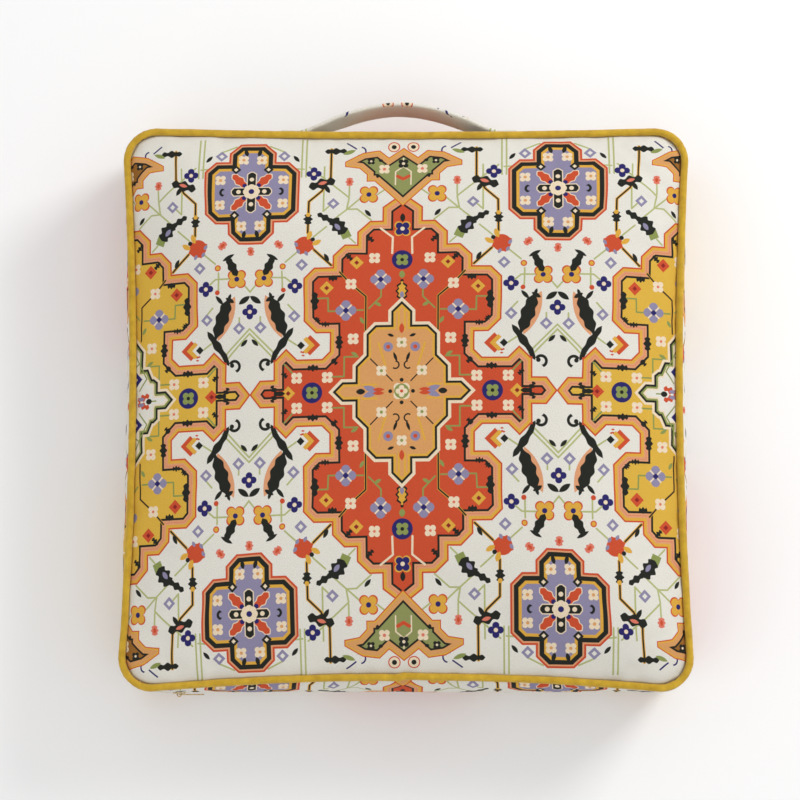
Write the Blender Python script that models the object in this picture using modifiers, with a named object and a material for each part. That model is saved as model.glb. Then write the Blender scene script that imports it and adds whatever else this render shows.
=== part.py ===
"""A square floor cushion: a printed box cover with corded edges, a carrying handle and a zip, over
an inner case that holds a foam core between two layers of wadding.

Metres, +Z up. The origin is the centre of the flat underside. The handle is on the +Y side and the
zip on the -Y side.
"""

from math import asin, cos, pi, radians, sin

import bmesh
import bpy
import numpy as np
from mathutils import Matrix

# Overall form, measured along the seams that hold the piping
SEAM_WIDTH = 0.4936  # between the side seams at the corners, X
SEAM_DEPTH = 0.4896  # between the zip-side and handle-side seams at the corners, Y
GUSSET_HEIGHT = 0.082  # between the two seams
CORNER_RADIUS = 0.026
ROUNDER = 1.3  # how fast the corners' radius grows inside the seams
PULL_IN_ZIP = 0.0095  # how far each side's seam draws in between its corners
PULL_IN_SIDES = 0.007
PULL_IN_HANDLE = 0.003
BULGE = 0.0035  # how far the gusset stands out past the seams at the corners
UNDERSIDE_LIFT = 0.0075  # the bottom seam's height over the floor
UNDERSIDE_RUN = 0.045  # over which the bottom panel comes down to the floor
CROWN = 0.026  # the top panel's rise over its seam
CROWN_RUN = 0.15  # over which it rises
CROWN_FALL = 2.6  # how steeply it falls at the seam, as a power
BULGE_FULLNESS = 0.7  # the gusset's section: 0.5 is half an ellipse, 1 a parabola

# Sheets and layers
CLOTH = 0.001
CASE_CLOTH = 0.0008
GAP = 0.0003  # between pieces that touch
FILL_DEPTH = 0.0036  # from the gusset's outer face to the inner case, at half height
FILL_EDGE = 0.011  # and how much deeper it lies at the seams, clear of the piping's edges
CASE_ROOM = 0.001  # between the cover's panels and the inner case

# Piping
PIPING_RADIUS = 0.0032
PIPING_CLOTH = 0.0007
FLANGE = 0.0035  # the piping cover's two edges, which are caught in the seam

# Zip
ZIP_OPENING = 0.0066  # between the folded edges of the zip panel's strips
TAPE_CLOTH = 0.0006
TAPE_WIDTH = 0.012
COIL_RADIUS = 0.0009
END_TAB = 0.014
SLIDER_LENGTH = 0.011
SLIDER_PLATE = 0.001
SLIDER_FLANGE = 0.0005
SLIDER_EDGE = 0.00033  # its rounded edges
LOOP_WIRE = 0.0005  # radius of the slider's loop that carries the pull
LOOP_RADIUS = 0.0018
PULL_LENGTH = 0.022
PULL_WIDTH = 0.0056
PULL_THICK = 0.0008
PULL_EYE = 0.0024  # the pull's square eye
PULL_STANDOFF = 0.0009  # the pull's hinge line over the slider's plate
SLIDER_PARKED = 0.001  # the closed zip's slider from the end tab

# Handle
HANDLE_SPAN = 0.176  # between the outer ends that are sewn down
LOOP_SPAN = 0.106  # the free part that swings
HANDLE_X = -0.006  # its middle, a little to the left of the cushion's
HANDLE_RISE = 0.0235  # the loop's middle over its ends
HANDLE_FLARE = 1.25  # how gently the strap leaves the gusset, as a power
STRAP_WIDTH = 0.030
WEBBING_THICK = 0.0014
WEBBING_WIDTH = 0.0256
STRAP_CLOTH = 0.0009
HANDLE_DROOP = radians(9)  # the loop hangs a little below level
SEWN_END = 0.018  # the length sewn flat beyond each end of the span
PATCH_LENGTH = 0.026
PATCH_HEIGHT = 0.036
PATCH_THICK = 0.0008

# How finely curves are divided
SIDE_POINTS = 7
CORNER_STEPS = 5
PIPING_SIDES = 6
LOOP_POINTS = 13
END_POINTS = 8
ARC_POINTS = 9  # round the slider's loop and the pull's tip
END_STEP = 0.0005  # the strap's last stretch, square to its end
FILL_LEVELS = (0.3, 0.55, 0.75, 0.9, 1)  # shares of the way from half height to a seam

SIDES = ("zip", "right", "handle", "left")
NORMALS = ((0, -1), (1, 0), (0, 1), (-1, 0))
PULL_INS = (PULL_IN_ZIP, PULL_IN_SIDES, PULL_IN_HANDLE, PULL_IN_SIDES)
SIDE_STEP = SIDE_POINTS + CORNER_STEPS - 1
TURN_POINTS = len(SIDES) * SIDE_STEP
SIDE_START = {name: i * SIDE_STEP for i, name in enumerate(SIDES)}
SIDE_END = {name: start + SIDE_POINTS - 1 for name, start in SIDE_START.items()}

SEAM_LOW = UNDERSIDE_LIFT
SEAM_HIGH = UNDERSIDE_LIFT + GUSSET_HEIGHT
MIDDLE = UNDERSIDE_LIFT + GUSSET_HEIGHT / 2
END_WALL = SEAM_DEPTH / 2 + BULGE  # the gusset's outer face at half height, on the zip and handle sides
PANEL_EDGE = PIPING_RADIUS + GAP
CROWN_INSETS = PANEL_EDGE + CROWN_RUN * np.array([0, 0.05, 0.13, 0.27, 0.5, 0.9])
UNDERSIDE_INSETS = PANEL_EDGE + UNDERSIDE_RUN * np.array([0, 0.2, 0.45, 1, 2])

ZIP_REACH = SEAM_WIDTH / 2 - CORNER_RADIUS  # half the zip panel's length
COIL_END = ZIP_REACH - END_TAB
COIL_CENTRE = COIL_RADIUS + GAP / 2
COIL_Y = CLOTH - COIL_RADIUS - END_WALL  # resting on the tapes' outer face
PLATE_FACE = COIL_Y - COIL_RADIUS - GAP - SLIDER_PLATE
PULL_AXIS_Y = PLATE_FACE - PULL_STANDOFF
SLIDER_X = -COIL_END + SLIDER_PARKED + SLIDER_LENGTH / 2

STRAP_THICK = WEBBING_THICK + 2 * (STRAP_CLOTH + GAP)
STRAP_WALL_Y = END_WALL + GAP + STRAP_THICK / 2  # the strap's middle line where it lies on the gusset


def clear_scene():
    for obj in list(bpy.data.objects):
        bpy.data.objects.remove(obj)


def collection(name, hidden=False):
    made = bpy.data.collections.new(name)
    bpy.context.scene.collection.children.link(made)
    made.hide_render = hidden
    return made


def material(name, colour, roughness=0.85, metallic=0.0):
    made = bpy.data.materials.new(name)
    made.use_nodes = True
    shader = made.node_tree.nodes["Principled BSDF"]
    shader.inputs["Base Color"].default_value = (*colour, 1)
    shader.inputs["Roughness"].default_value = roughness
    shader.inputs["Metallic"].default_value = metallic
    made.diffuse_color = (*colour, 1)
    return made


def add(name, data, look):
    """An object of the cushion, with its own material."""
    obj = bpy.data.objects.new(name, data)
    data.materials.append(material(name, *look))
    if isinstance(data, bpy.types.Mesh):
        data.shade_smooth()
        data.set_sharp_from_angle(angle=radians(40))
    CUSHION.objects.link(obj)
    return obj


def helper(name, data):
    """A guide or cutter, which is not part of the cushion."""
    obj = bpy.data.objects.new(name, data)
    obj.hide_render = True
    obj.display_type = "WIRE"
    HELPERS.objects.link(obj)
    return obj


def ring(grow=0.0, slack=1.0, rounder=0.0):
    """Points of one turn round the cushion in plan, anticlockwise from the zip side's left end.

    grow moves the turn outwards from the seam line, slack is the share of the sides' pull-in that
    it keeps, and rounder is added to the corners' radius.
    """
    half = np.array([SEAM_WIDTH / 2 + grow, SEAM_DEPTH / 2 + grow])
    radius = CORNER_RADIUS + grow + rounder
    points = []
    for normal, pull_in in zip(np.array(NORMALS), PULL_INS):
        along = np.array([-normal[1], normal[0]])
        out = abs(normal @ half)
        reach = abs(along @ half) - radius
        for s in np.linspace(-1, 1, SIDE_POINTS):
            points.append(normal * (out - pull_in * slack * (1 - s * s)) + along * reach * s)
        centre = normal * (out - radius) + along * reach
        for step in range(1, CORNER_STEPS):
            turn = pi / 2 * step / CORNER_STEPS
            points.append(centre + radius * (cos(turn) * normal + sin(turn) * along))
    return np.array(points)


def bulge(height):
    """How far the gusset has come from its seams (0) to its fullest line (1) at this height."""
    share = 2 * (height - MIDDLE) / GUSSET_HEIGHT
    return max(0.0, 1 - share * share) ** BULGE_FULLNESS


def gusset_ring(height, depth=0.0):
    out = bulge(height)
    return ring(BULGE * out - depth, 1 - out, rounder=depth * ROUNDER)


def mesh_of(name, rows, closed_turn=True, cap_low=False, cap_high=False):
    """A surface through rows of points, lowest first, its first or last row closed by a flat face."""
    made = bmesh.new()
    grid = [[made.verts.new(point) for point in row] for row in rows]
    count = len(grid[0])
    for low, high in zip(grid, grid[1:]):
        for i in range(count if closed_turn else count - 1):
            j = (i + 1) % count
            made.faces.new((low[i], low[j], high[j], high[i]))
    if cap_low:
        made.faces.new(reversed(grid[0]))
    if cap_high:
        made.faces.new(grid[-1])
    mesh = bpy.data.meshes.new(name)
    made.to_mesh(mesh)
    made.free()
    return mesh


def at_height(points, height):
    return [(x, y, height) for x, y in points]


def thicken(obj, thickness):
    """A sheet's thickness, laid on the inner side of its modelled face."""
    sheet = obj.modifiers.new("thickness", "SOLIDIFY")
    sheet.thickness = thickness
    sheet.offset = -1
    sheet.use_even_offset = True
    return obj


def crown_height(inset):
    share = min(inset / CROWN_RUN, 1.0)
    return SEAM_HIGH + CROWN * (1 - (1 - share) ** CROWN_FALL)


def underside_height(inset):
    """A parabola that meets the floor at the end of its run."""
    share = min(inset / UNDERSIDE_RUN, 1.0)
    return UNDERSIDE_LIFT * (1 - share) ** 2


def inner_ring(inset):
    """A turn inside the seams, with rounder corners and straighter sides the further in it lies."""
    reach = min(inset / CROWN_RUN, 1.0)
    return ring(-inset, 1 - reach, rounder=inset * ROUNDER)


def top_rows(first, drop):
    """Turns of the crown from the first inset to the middle, this far under the cover's top."""
    insets = CROWN_INSETS[first:]
    return [at_height(inner_ring(inset), crown_height(inset) - drop) for inset in insets]


def underside_rows(first, lift):
    """Turns of the underside from the middle out to the first inset."""
    insets = UNDERSIDE_INSETS[first:]
    return [at_height(inner_ring(inset), underside_height(inset) + lift) for inset in reversed(insets)]


def top_panel(look):
    mesh = mesh_of("top_panel", top_rows(0, 0), cap_high=True)
    thicken(add("top_panel", mesh, look), CLOTH)


def bottom_panel(look):
    mesh = mesh_of("bottom_panel", underside_rows(0, 0), cap_low=True)
    thicken(add("bottom_panel", mesh, look), CLOTH)


def gusset_strip(name, look, low, high, first, last, depth=0.0, cloth=CLOTH, levels=7):
    """A strip of the gusset between two heights and two points of the turn, each end GAP / 2 short."""
    count = (last - first) % TURN_POINTS + 1
    rows = []
    for height in np.linspace(low, high, levels):
        turn = gusset_ring(height, depth)
        strip = turn[(first + np.arange(count)) % TURN_POINTS]
        for end, beside in ((0, 1), (-1, -2)):
            step = strip[beside] - strip[end]
            strip[end] += step / np.linalg.norm(step) * GAP / 2
        rows.append(at_height(strip, height))
    mesh = mesh_of(name, rows, closed_turn=False)
    return thicken(add(name, mesh, look), cloth)


def gusset(look):
    low = SEAM_LOW + PIPING_RADIUS + GAP
    high = SEAM_HIGH - PIPING_RADIUS - GAP
    start, end = SIDE_START, SIDE_END
    gusset_strip("gusset_handle_side", look, low, high, start["handle"], end["handle"])
    gusset_strip("gusset_left", look, low, high, end["handle"], start["zip"])
    gusset_strip("gusset_right", look, low, high, end["zip"], start["handle"])
    fold = ZIP_OPENING / 2
    gusset_strip("zip_panel_upper", look, MIDDLE + fold, high, start["zip"], end["zip"], levels=4)
    gusset_strip("zip_panel_lower", look, low, MIDDLE - fold, start["zip"], end["zip"], levels=4)


def poly_curve(name, points, cyclic=False, flat=False):
    """A curve through points, 2-D ones lying at height 0."""
    made = bpy.data.curves.new(name, "CURVE")
    made.dimensions = "2D" if flat else "3D"
    made.twist_mode = "Z_UP"
    made.use_fill_caps = not cyclic
    spline = made.splines.new("POLY")
    spline.points.add(len(points) - 1)
    for control, point in zip(spline.points, points):
        control.co = (*point, 0, 1) if len(point) == 2 else (*point, 1)
    spline.use_cyclic_u = cyclic
    return made


def swept(name, look, path, profile, cyclic=False):
    """A clockwise profile carried along a level path: its X points to the path's right, its Y up."""
    section = helper(f"{name}_section", poly_curve(f"{name}_section", profile, cyclic=True, flat=True))
    curve = poly_curve(name, path, cyclic)
    curve.bevel_mode = "OBJECT"
    curve.bevel_object = section
    return add(name, curve, look)


def rod(name, look, path, radius, cyclic=False):
    curve = poly_curve(name, path, cyclic)
    curve.bevel_depth = radius
    curve.bevel_resolution = 2
    return add(name, curve, look)


def piping_profile(tilt):
    """The piping cover's section: a band round the cord, its two edges running on into the seam.

    tilt turns the edges off level, so that they run in between the panel and the gusset.
    """
    outer = PIPING_RADIUS
    inner = PIPING_RADIUS - PIPING_CLOTH
    mouth = GAP / 2
    end = -outer - FLANGE
    outside = pi - asin((mouth + PIPING_CLOTH) / outer)
    inside = pi - asin(mouth / inner)
    points = [(end, mouth + PIPING_CLOTH)]
    points += [(outer * cos(a), outer * sin(a)) for a in np.linspace(outside, -outside, PIPING_SIDES)]
    points += [(end, -mouth - PIPING_CLOTH), (end, -mouth)]
    points += [(inner * cos(a), inner * sin(a)) for a in np.linspace(-inside, inside, PIPING_SIDES)]
    points += [(end, mouth)]
    return [(x * cos(tilt) - y * sin(tilt), x * sin(tilt) + y * cos(tilt)) for x, y in points]


def piping(level, height, tilt, cover_look, cord_look):
    path = at_height(ring(), height)
    swept(f"piping_cover_{level}", cover_look, path, piping_profile(tilt), cyclic=True)
    rod(f"piping_cord_{level}", cord_look, path, PIPING_RADIUS - PIPING_CLOTH - 2 * GAP, cyclic=True)


def fill_row(share, extra=0.0, lift=0.0):
    """A turn of the filling's side, this share of the way from half height to the seam above it.

    It draws in towards the seams, to leave room for the piping's edges.
    """
    height = MIDDLE + share * GUSSET_HEIGHT / 2
    depth = FILL_DEPTH + FILL_EDGE * share**2 + extra
    return at_height(gusset_ring(height, depth), height + lift)


def inner_case(look):
    """The inner case, in two halves that meet half way up."""
    drop = CLOTH + CASE_ROOM
    seam = GAP / GUSSET_HEIGHT
    sides = [fill_row(share) for share in (seam, *FILL_LEVELS)]
    mesh = mesh_of("inner_case_top", sides + top_rows(2, drop), cap_high=True)
    thicken(add("inner_case_top", mesh, look), CASE_CLOTH)
    sides = [fill_row(-share) for share in (*reversed(FILL_LEVELS), seam)]
    mesh = mesh_of("inner_case_bottom", underside_rows(2, drop) + sides, cap_low=True)
    thicken(add("inner_case_bottom", mesh, look), CASE_CLOTH)


def filling(foam_look, wadding_look):
    """The foam block, and the wadding over and under it."""
    inside = 2 * CASE_CLOTH + GAP
    room = CLOTH + CASE_ROOM + inside
    *between, low, high = FILL_LEVELS
    shares = (-low, *(-share for share in reversed(between)), *between, low, high)
    rows = [fill_row(share, inside) for share in shares]
    add("foam_core", mesh_of("foam_core", rows, cap_low=True, cap_high=True), foam_look)
    rows = [fill_row(high, inside, lift=GAP)] + top_rows(2, room)
    add("wadding_top", mesh_of("wadding_top", rows, cap_low=True, cap_high=True), wadding_look)
    rows = underside_rows(2, room) + [fill_row(-low, 2 * inside, lift=-GAP)]
    add("wadding_bottom", mesh_of("wadding_bottom", rows, cap_low=True, cap_high=True), wadding_look)


def box_mesh(name, low, high):
    made = bmesh.new()
    low, high = np.array(low), np.array(high)
    place = Matrix.Translation((low + high) / 2) @ Matrix.Diagonal((*(high - low), 1))
    bmesh.ops.create_cube(made, size=1, matrix=place)
    mesh = bpy.data.meshes.new(name)
    made.to_mesh(mesh)
    made.free()
    return mesh


def round_edges(obj, width):
    bevel = obj.modifiers.new("edges", "BEVEL")
    bevel.width = width
    bevel.segments = 2
    return obj


def zip_fastener(tape_look, coil_look, tab_look):
    """The two tapes behind the zip panel's folds, their coils, and a cloth tab over each end."""
    depth = CLOTH + GAP
    across = SIDE_START["zip"], SIDE_END["zip"]
    for name, low, high in (
        ("zip_tape_upper", MIDDLE + GAP / 2, MIDDLE + TAPE_WIDTH),
        ("zip_tape_lower", MIDDLE - TAPE_WIDTH, MIDDLE - GAP / 2),
    ):
        gusset_strip(name, tape_look, low, high, *across, depth=depth, cloth=TAPE_CLOTH, levels=3)
    for name, side in (("zip_coil_upper", 1), ("zip_coil_lower", -1)):
        height = MIDDLE + side * COIL_CENTRE
        path = [(x, COIL_Y, height) for x in (-COIL_END, COIL_END)]
        rod(name, coil_look, path, COIL_RADIUS)
    half = ZIP_OPENING / 2 - GAP
    for name, side in (("zip_end_tab_left", -1), ("zip_end_tab_right", 1)):
        ends = sorted((side * (COIL_END + GAP), side * (ZIP_REACH - GAP)))
        low = (ends[0], COIL_Y - COIL_RADIUS, MIDDLE - half)
        high = (ends[1], depth - GAP - END_WALL, MIDDLE + half)
        round_edges(add(name, box_mesh(name, low, high), tab_look), GAP)


def as_mesh(obj):
    """The object's curve as a mesh with welded caps, under the same name and place."""
    shape = obj.evaluated_get(bpy.context.evaluated_depsgraph_get())
    mesh = bpy.data.meshes.new_from_object(shape)
    made = bmesh.new()
    made.from_mesh(mesh)
    bmesh.ops.remove_doubles(made, verts=made.verts, dist=1e-6)
    made.to_mesh(mesh)
    made.free()
    replacement = helper(obj.name, mesh)
    replacement.matrix_world = obj.matrix_world
    bpy.data.objects.remove(obj)
    return replacement


def combine(obj, other, operation):
    step = obj.modifiers.new(operation.lower(), "BOOLEAN")
    step.operation = operation
    step.object = other
    step.solver = "EXACT"


def zip_slider(look):
    """A plate over the coils with a flange down each side of them, and a loop that holds the pull."""
    half = COIL_CENTRE + COIL_RADIUS + GAP
    low = (SLIDER_X - SLIDER_LENGTH / 2, PLATE_FACE, MIDDLE - half - SLIDER_FLANGE)
    high = (SLIDER_X + SLIDER_LENGTH / 2, CLOTH - END_WALL, MIDDLE + half + SLIDER_FLANGE)
    body = add("zip_slider", box_mesh("zip_slider", low, high), look)
    round_edges(body, SLIDER_EDGE)
    low = (SLIDER_X - SLIDER_LENGTH, PLATE_FACE + SLIDER_PLATE, MIDDLE - half)
    high = (SLIDER_X + SLIDER_LENGTH, 0, MIDDLE + half)
    combine(body, helper("slider_channel", box_mesh("slider_channel", low, high)), "DIFFERENCE")
    foot = PLATE_FACE + SLIDER_EDGE
    path = [(SLIDER_X - LOOP_RADIUS, foot, MIDDLE)]
    for turn in np.linspace(0, pi, ARC_POINTS):
        path.append((SLIDER_X - LOOP_RADIUS * cos(turn), PULL_AXIS_Y - LOOP_RADIUS * sin(turn), MIDDLE))
    path.append((SLIDER_X + LOOP_RADIUS, foot, MIDDLE))
    loop = rod("slider_loop", look, path, LOOP_WIRE)
    combine(body, as_mesh(loop), "UNION")


def zip_pull(look):
    """A flat tab whose end bar sits in the slider's loop, modelled along X from its hinge."""
    half = PULL_WIDTH / 2
    back = -PULL_THICK / 2
    tip = PULL_LENGTH - half
    outline = [(back, -half)]
    outline += [(tip + half * sin(a), -half * cos(a)) for a in np.linspace(0, pi, ARC_POINTS)]
    outline += [(back, half)]
    curve = poly_curve("zip_pull", outline, cyclic=True, flat=True)
    eye = curve.splines.new("POLY")
    eye.points.add(3)
    near, far, side = PULL_THICK / 2, PULL_THICK / 2 + PULL_EYE, PULL_EYE / 2
    for control, point in zip(eye.points, ((near, -side), (far, -side), (far, side), (near, side))):
        control.co = (*point, 0, 1)
    eye.use_cyclic_u = True
    curve.fill_mode = "BOTH"
    curve.extrude = PULL_THICK / 2
    pull = add("zip_pull", curve, look)
    pull.location = (SLIDER_X, PULL_AXIS_Y, MIDDLE)
    pull.rotation_euler = (pi / 2, 0, 0)


def handle_rise(x):
    """How far the strap's middle line stands off its sewn ends at this distance from the centre."""
    share = min(abs(x) / (HANDLE_SPAN / 2), 1.0)
    return HANDLE_RISE * cos(pi / 2 * share) ** HANDLE_FLARE


def strap_path(first, last, count):
    """Points along the strap's middle line, with (x, rise), its two ends cut square to X."""
    inner = np.linspace(first + END_STEP, last - END_STEP, count)
    places = [(x, handle_rise(x)) for x in inner]
    return [(first, places[0][1]), *places, (last, places[-1][1])]


def rectangle(width, height):
    x, y = width / 2, height / 2
    return [(-x, -y), (-x, y), (x, y), (x, -y)]


def strap_profile():
    """The strap's cloth folded over its webbing, its two edges meeting along the lower side."""
    x, y = STRAP_THICK / 2, STRAP_WIDTH / 2
    inner_x = x - STRAP_CLOTH
    top = y - STRAP_CLOTH
    left = [(-inner_x, top), (-inner_x, -y), (-x, -y), (-x, y)]
    return left + [(-across, up) for across, up in reversed(left)]


def handle(strap_look, webbing_look, patch_look):
    """The loop, hung from an empty on its swing axis, and the two ends that are sewn to the gusset."""
    axis = bpy.data.objects.new("handle_axis", None)
    axis.location = (HANDLE_X, HANDLE_AXIS_Y, MIDDLE)
    axis.rotation_euler = (-HANDLE_DROOP, 0, 0)
    CUSHION.objects.link(axis)
    reach = LOOP_SPAN / 2
    start = handle_rise(reach)
    path = [(x, rise - start, 0) for x, rise in strap_path(-reach, reach, LOOP_POINTS)]
    strap = swept("handle_strap", strap_look, path, strap_profile())
    webbing = swept("handle_webbing", webbing_look, path, rectangle(WEBBING_THICK, WEBBING_WIDTH))
    strap.parent = axis
    webbing.parent = axis
    end = HANDLE_SPAN / 2
    for name, side in (("handle_end_left", -1), ("handle_end_right", 1)):
        first, last = sorted((side * (reach + GAP), side * (end + SEWN_END)))
        places = strap_path(first, last, END_POINTS)
        path = [(HANDLE_X + x, STRAP_WALL_Y + rise, MIDDLE) for x, rise in places]
        swept(name, strap_look, path, rectangle(STRAP_THICK, STRAP_WIDTH))
    falls_back = (BULGE + PULL_IN_HANDLE) * (1 - bulge(MIDDLE + PATCH_HEIGHT / 2))
    face = END_WALL - CLOTH - GAP - falls_back
    for name, side in (("handle_backing_left", -1), ("handle_backing_right", 1)):
        ends = sorted((side * (end + SEWN_END - PATCH_LENGTH), side * (end + SEWN_END)))
        low = (HANDLE_X + ends[0], face - PATCH_THICK, MIDDLE - PATCH_HEIGHT / 2)
        high = (HANDLE_X + ends[1], face, MIDDLE + PATCH_HEIGHT / 2)
        add(name, box_mesh(name, low, high), patch_look)


HANDLE_AXIS_Y = STRAP_WALL_Y + handle_rise(LOOP_SPAN / 2)

clear_scene()
CUSHION = collection("floor_cushion")
HELPERS = collection("guides", hidden=True)

PRINT = ((0.79, 0.77, 0.70), 0.9)
MUSTARD = ((0.61, 0.38, 0.02), 0.85)
PLAIN_CLOTH = ((0.80, 0.76, 0.66), 0.9)
CORD = ((0.85, 0.83, 0.78), 0.9)
FOAM = ((0.90, 0.84, 0.62), 0.95)
WHITE_FIBRE = ((0.93, 0.93, 0.91), 0.95)
ZIP_TAPE = ((0.76, 0.72, 0.60), 0.8)
NYLON = ((0.74, 0.70, 0.58), 0.5)
METAL = ((0.72, 0.62, 0.38), 0.3, 1.0)

top_panel(PRINT)
bottom_panel(PLAIN_CLOTH)
gusset(PRINT)
piping("top", SEAM_HIGH, pi / 4, MUSTARD, CORD)
piping("bottom", SEAM_LOW, -pi / 4, MUSTARD, CORD)
inner_case(PLAIN_CLOTH)
filling(FOAM, WHITE_FIBRE)
zip_fastener(ZIP_TAPE, NYLON, PRINT)
zip_slider(METAL)
zip_pull(METAL)
handle(PRINT, CORD, PLAIN_CLOTH)
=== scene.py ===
"""Looks of the square floor cushion: the printed cover in cloth, its piping, strap, zip and filling.

Metres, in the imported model's frame. The cover is one welded cage of cloth, blown up by a short
cloth simulation and then cut into the panels that the real cover is sewn from.
"""

from math import cos, pi, radians, sin

import bmesh
import bpy
import numpy as np
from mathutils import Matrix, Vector, noise


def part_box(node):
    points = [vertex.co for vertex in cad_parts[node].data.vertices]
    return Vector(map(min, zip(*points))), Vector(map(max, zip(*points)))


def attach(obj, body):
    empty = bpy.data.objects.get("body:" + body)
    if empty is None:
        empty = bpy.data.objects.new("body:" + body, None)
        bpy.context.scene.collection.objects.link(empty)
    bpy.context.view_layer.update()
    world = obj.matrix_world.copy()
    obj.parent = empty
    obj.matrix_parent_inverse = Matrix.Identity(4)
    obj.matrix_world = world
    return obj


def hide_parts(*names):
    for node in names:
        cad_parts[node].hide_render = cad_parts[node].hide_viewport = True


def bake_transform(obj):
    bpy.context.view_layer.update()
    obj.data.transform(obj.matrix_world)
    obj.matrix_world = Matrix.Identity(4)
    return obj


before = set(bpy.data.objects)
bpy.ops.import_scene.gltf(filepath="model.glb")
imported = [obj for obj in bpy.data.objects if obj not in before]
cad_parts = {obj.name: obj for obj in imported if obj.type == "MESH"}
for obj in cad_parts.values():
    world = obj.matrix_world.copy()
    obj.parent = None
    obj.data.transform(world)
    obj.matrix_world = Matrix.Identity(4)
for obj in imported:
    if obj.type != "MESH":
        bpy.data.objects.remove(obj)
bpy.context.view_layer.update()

# Seam lines, from the cords that run along them
CORD_LOW, CORD_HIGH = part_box("piping_cord_top")
CORD_RADIUS = (CORD_HIGH.z - CORD_LOW.z) / 2
SEAM_HIGH = (CORD_HIGH.z + CORD_LOW.z) / 2
SEAM_LOW = sum(corner.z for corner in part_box("piping_cord_bottom")) / 2
HALF = np.array([CORD_HIGH.x - CORD_RADIUS, CORD_HIGH.y - CORD_RADIUS])
MIDDLE = (SEAM_LOW + SEAM_HIGH) / 2
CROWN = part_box("top_panel")[1].z - SEAM_HIGH

# The cover's form, as in the CAD
CORNER_RADIUS = 0.026
ROUNDER = 0.3  # how fast the corners' radius grows inside the seam
PULL_INS = (0.0095, 0.007, 0.003, 0.007)  # zip, right, handle and left side
BULGE = 0.0035
BULGE_FULLNESS = 0.7
CROWN_RUN = 0.15
CROWN_FALL = 2.6
UNDERSIDE_RUN = 0.045
CLOTH = 0.001
SEAM_TUCK = 0.0022  # how far in and down the cloth meets behind the piping

# The cage of cloth
STRAIGHT_CELLS = 88  # along each side
ARC_CELLS = 4  # round half a corner
SIDE_CELLS = STRAIGHT_CELLS + 2 * ARC_CELLS
PANEL_ROWS = 7  # of the gusset, from a seam to the edge of the zip's opening
ZIP_OPENING = 0.0066
GUSSET_WAIST = (0.0, 0.35, 0.3, 0.35)  # how far each side of the gusset follows its seams' pull-in
SIDES = ("zip", "right", "handle", "left")
# Where each side of the gusset is cut from the printed cloth
GUSSET_PRINT = np.array([(0.0, 0.10), (0.134, 0.06), (0.0, 0.10), (0.134, 0.06)])

# How the simulation blows the cover up
SWELL_PRESSURE = 4
SPARE_CLOTH = 0.01
SWELL_CAP = 0.007  # the most that a point of the top may move
SIDE_SWELL_CAP = 0.0012  # and one of the gusset
SINK_CAP = 0.0002  # and the most that it may move inwards
FLOOR_CONTACT = 0.0006

# Its gathers along the seams, its drapes and its dips
GATHER_DEPTH = 0.0016
GATHER_RUN = 0.012  # how far the gathers fade out from a seam
GATHER_STRETCH = 0.25
DRAPE_DEPTH = 0.0017
DIP_DEPTH = 0.0012
DEEPEST_DIP = 0.0016
NORMALS = np.array([(0, -1), (1, 0), (0, 1), (-1, 0)])


def smooth(value, low, high):
    """0 below low, 1 above high, and an S curve between."""
    share = np.clip((np.asarray(value, float) - low) / (high - low), 0, 1)
    return share * share * (3 - 2 * share)


def side_point(side, share, half, radius, pull_in):
    """A point on a rounded square, share running -1 to 1 along a side and half of its two corners."""
    normal = NORMALS[side]
    along = np.array([-normal[1], normal[0]])
    out = abs(normal @ half)
    reach = abs(along @ half) - radius
    edge = STRAIGHT_CELLS / SIDE_CELLS
    if abs(share) <= edge:
        s = share / edge
        return normal * (out - pull_in * (1 - s * s)) + along * reach * s
    turn = pi / 4 * (abs(share) - edge) / (1 - edge)
    corner = (out - radius + radius * cos(turn)) * normal
    return corner + np.sign(share) * (reach + radius * sin(turn)) * along


def turn_points(grow, slack, radius):
    """One turn round the cushion in plan, from the zip side's left corner.

    slack is the share of the pull-in that each side keeps.
    """
    points = []
    for side, pull_in in enumerate(PULL_INS):
        for cell in range(SIDE_CELLS):
            share = 2 * cell / SIDE_CELLS - 1
            points.append(side_point(side, share, HALF + grow, radius, pull_in * slack[side]))
    return np.array(points)


def inset_of(points):
    """How far inside the seam line each point in plan lies, on turns whose corners grow rounder."""
    inset = np.zeros(len(points))
    for _ in range(24):
        slack = 1 - np.minimum(inset / CROWN_RUN, 1)
        radius = CORNER_RADIUS + ROUNDER * inset
        reach = HALF - CORNER_RADIUS
        away = np.abs(points) - HALF + inset[:, None]
        for side, pull_in in enumerate(PULL_INS):
            axis = 1 - side % 2
            facing = points @ NORMALS[side] > 0
            share = np.clip(points[:, 1 - axis] / reach[1 - axis], -1, 1)
            away[:, axis] += np.where(facing, pull_in * slack * (1 - share**2), 0)
        corner = away + radius[:, None]
        distance = np.linalg.norm(np.maximum(corner, 0), axis=1) - radius
        distance += np.minimum(corner.max(axis=1), 0)
        inset = np.maximum(inset - distance * 0.7, 0)
    return inset


def crown_height(inset):
    return SEAM_HIGH + CROWN * (1 - (1 - np.minimum(inset / CROWN_RUN, 1)) ** CROWN_FALL)


def underside_height(inset):
    return SEAM_LOW * (1 - np.minimum(inset / UNDERSIDE_RUN, 1)) ** 2


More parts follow.
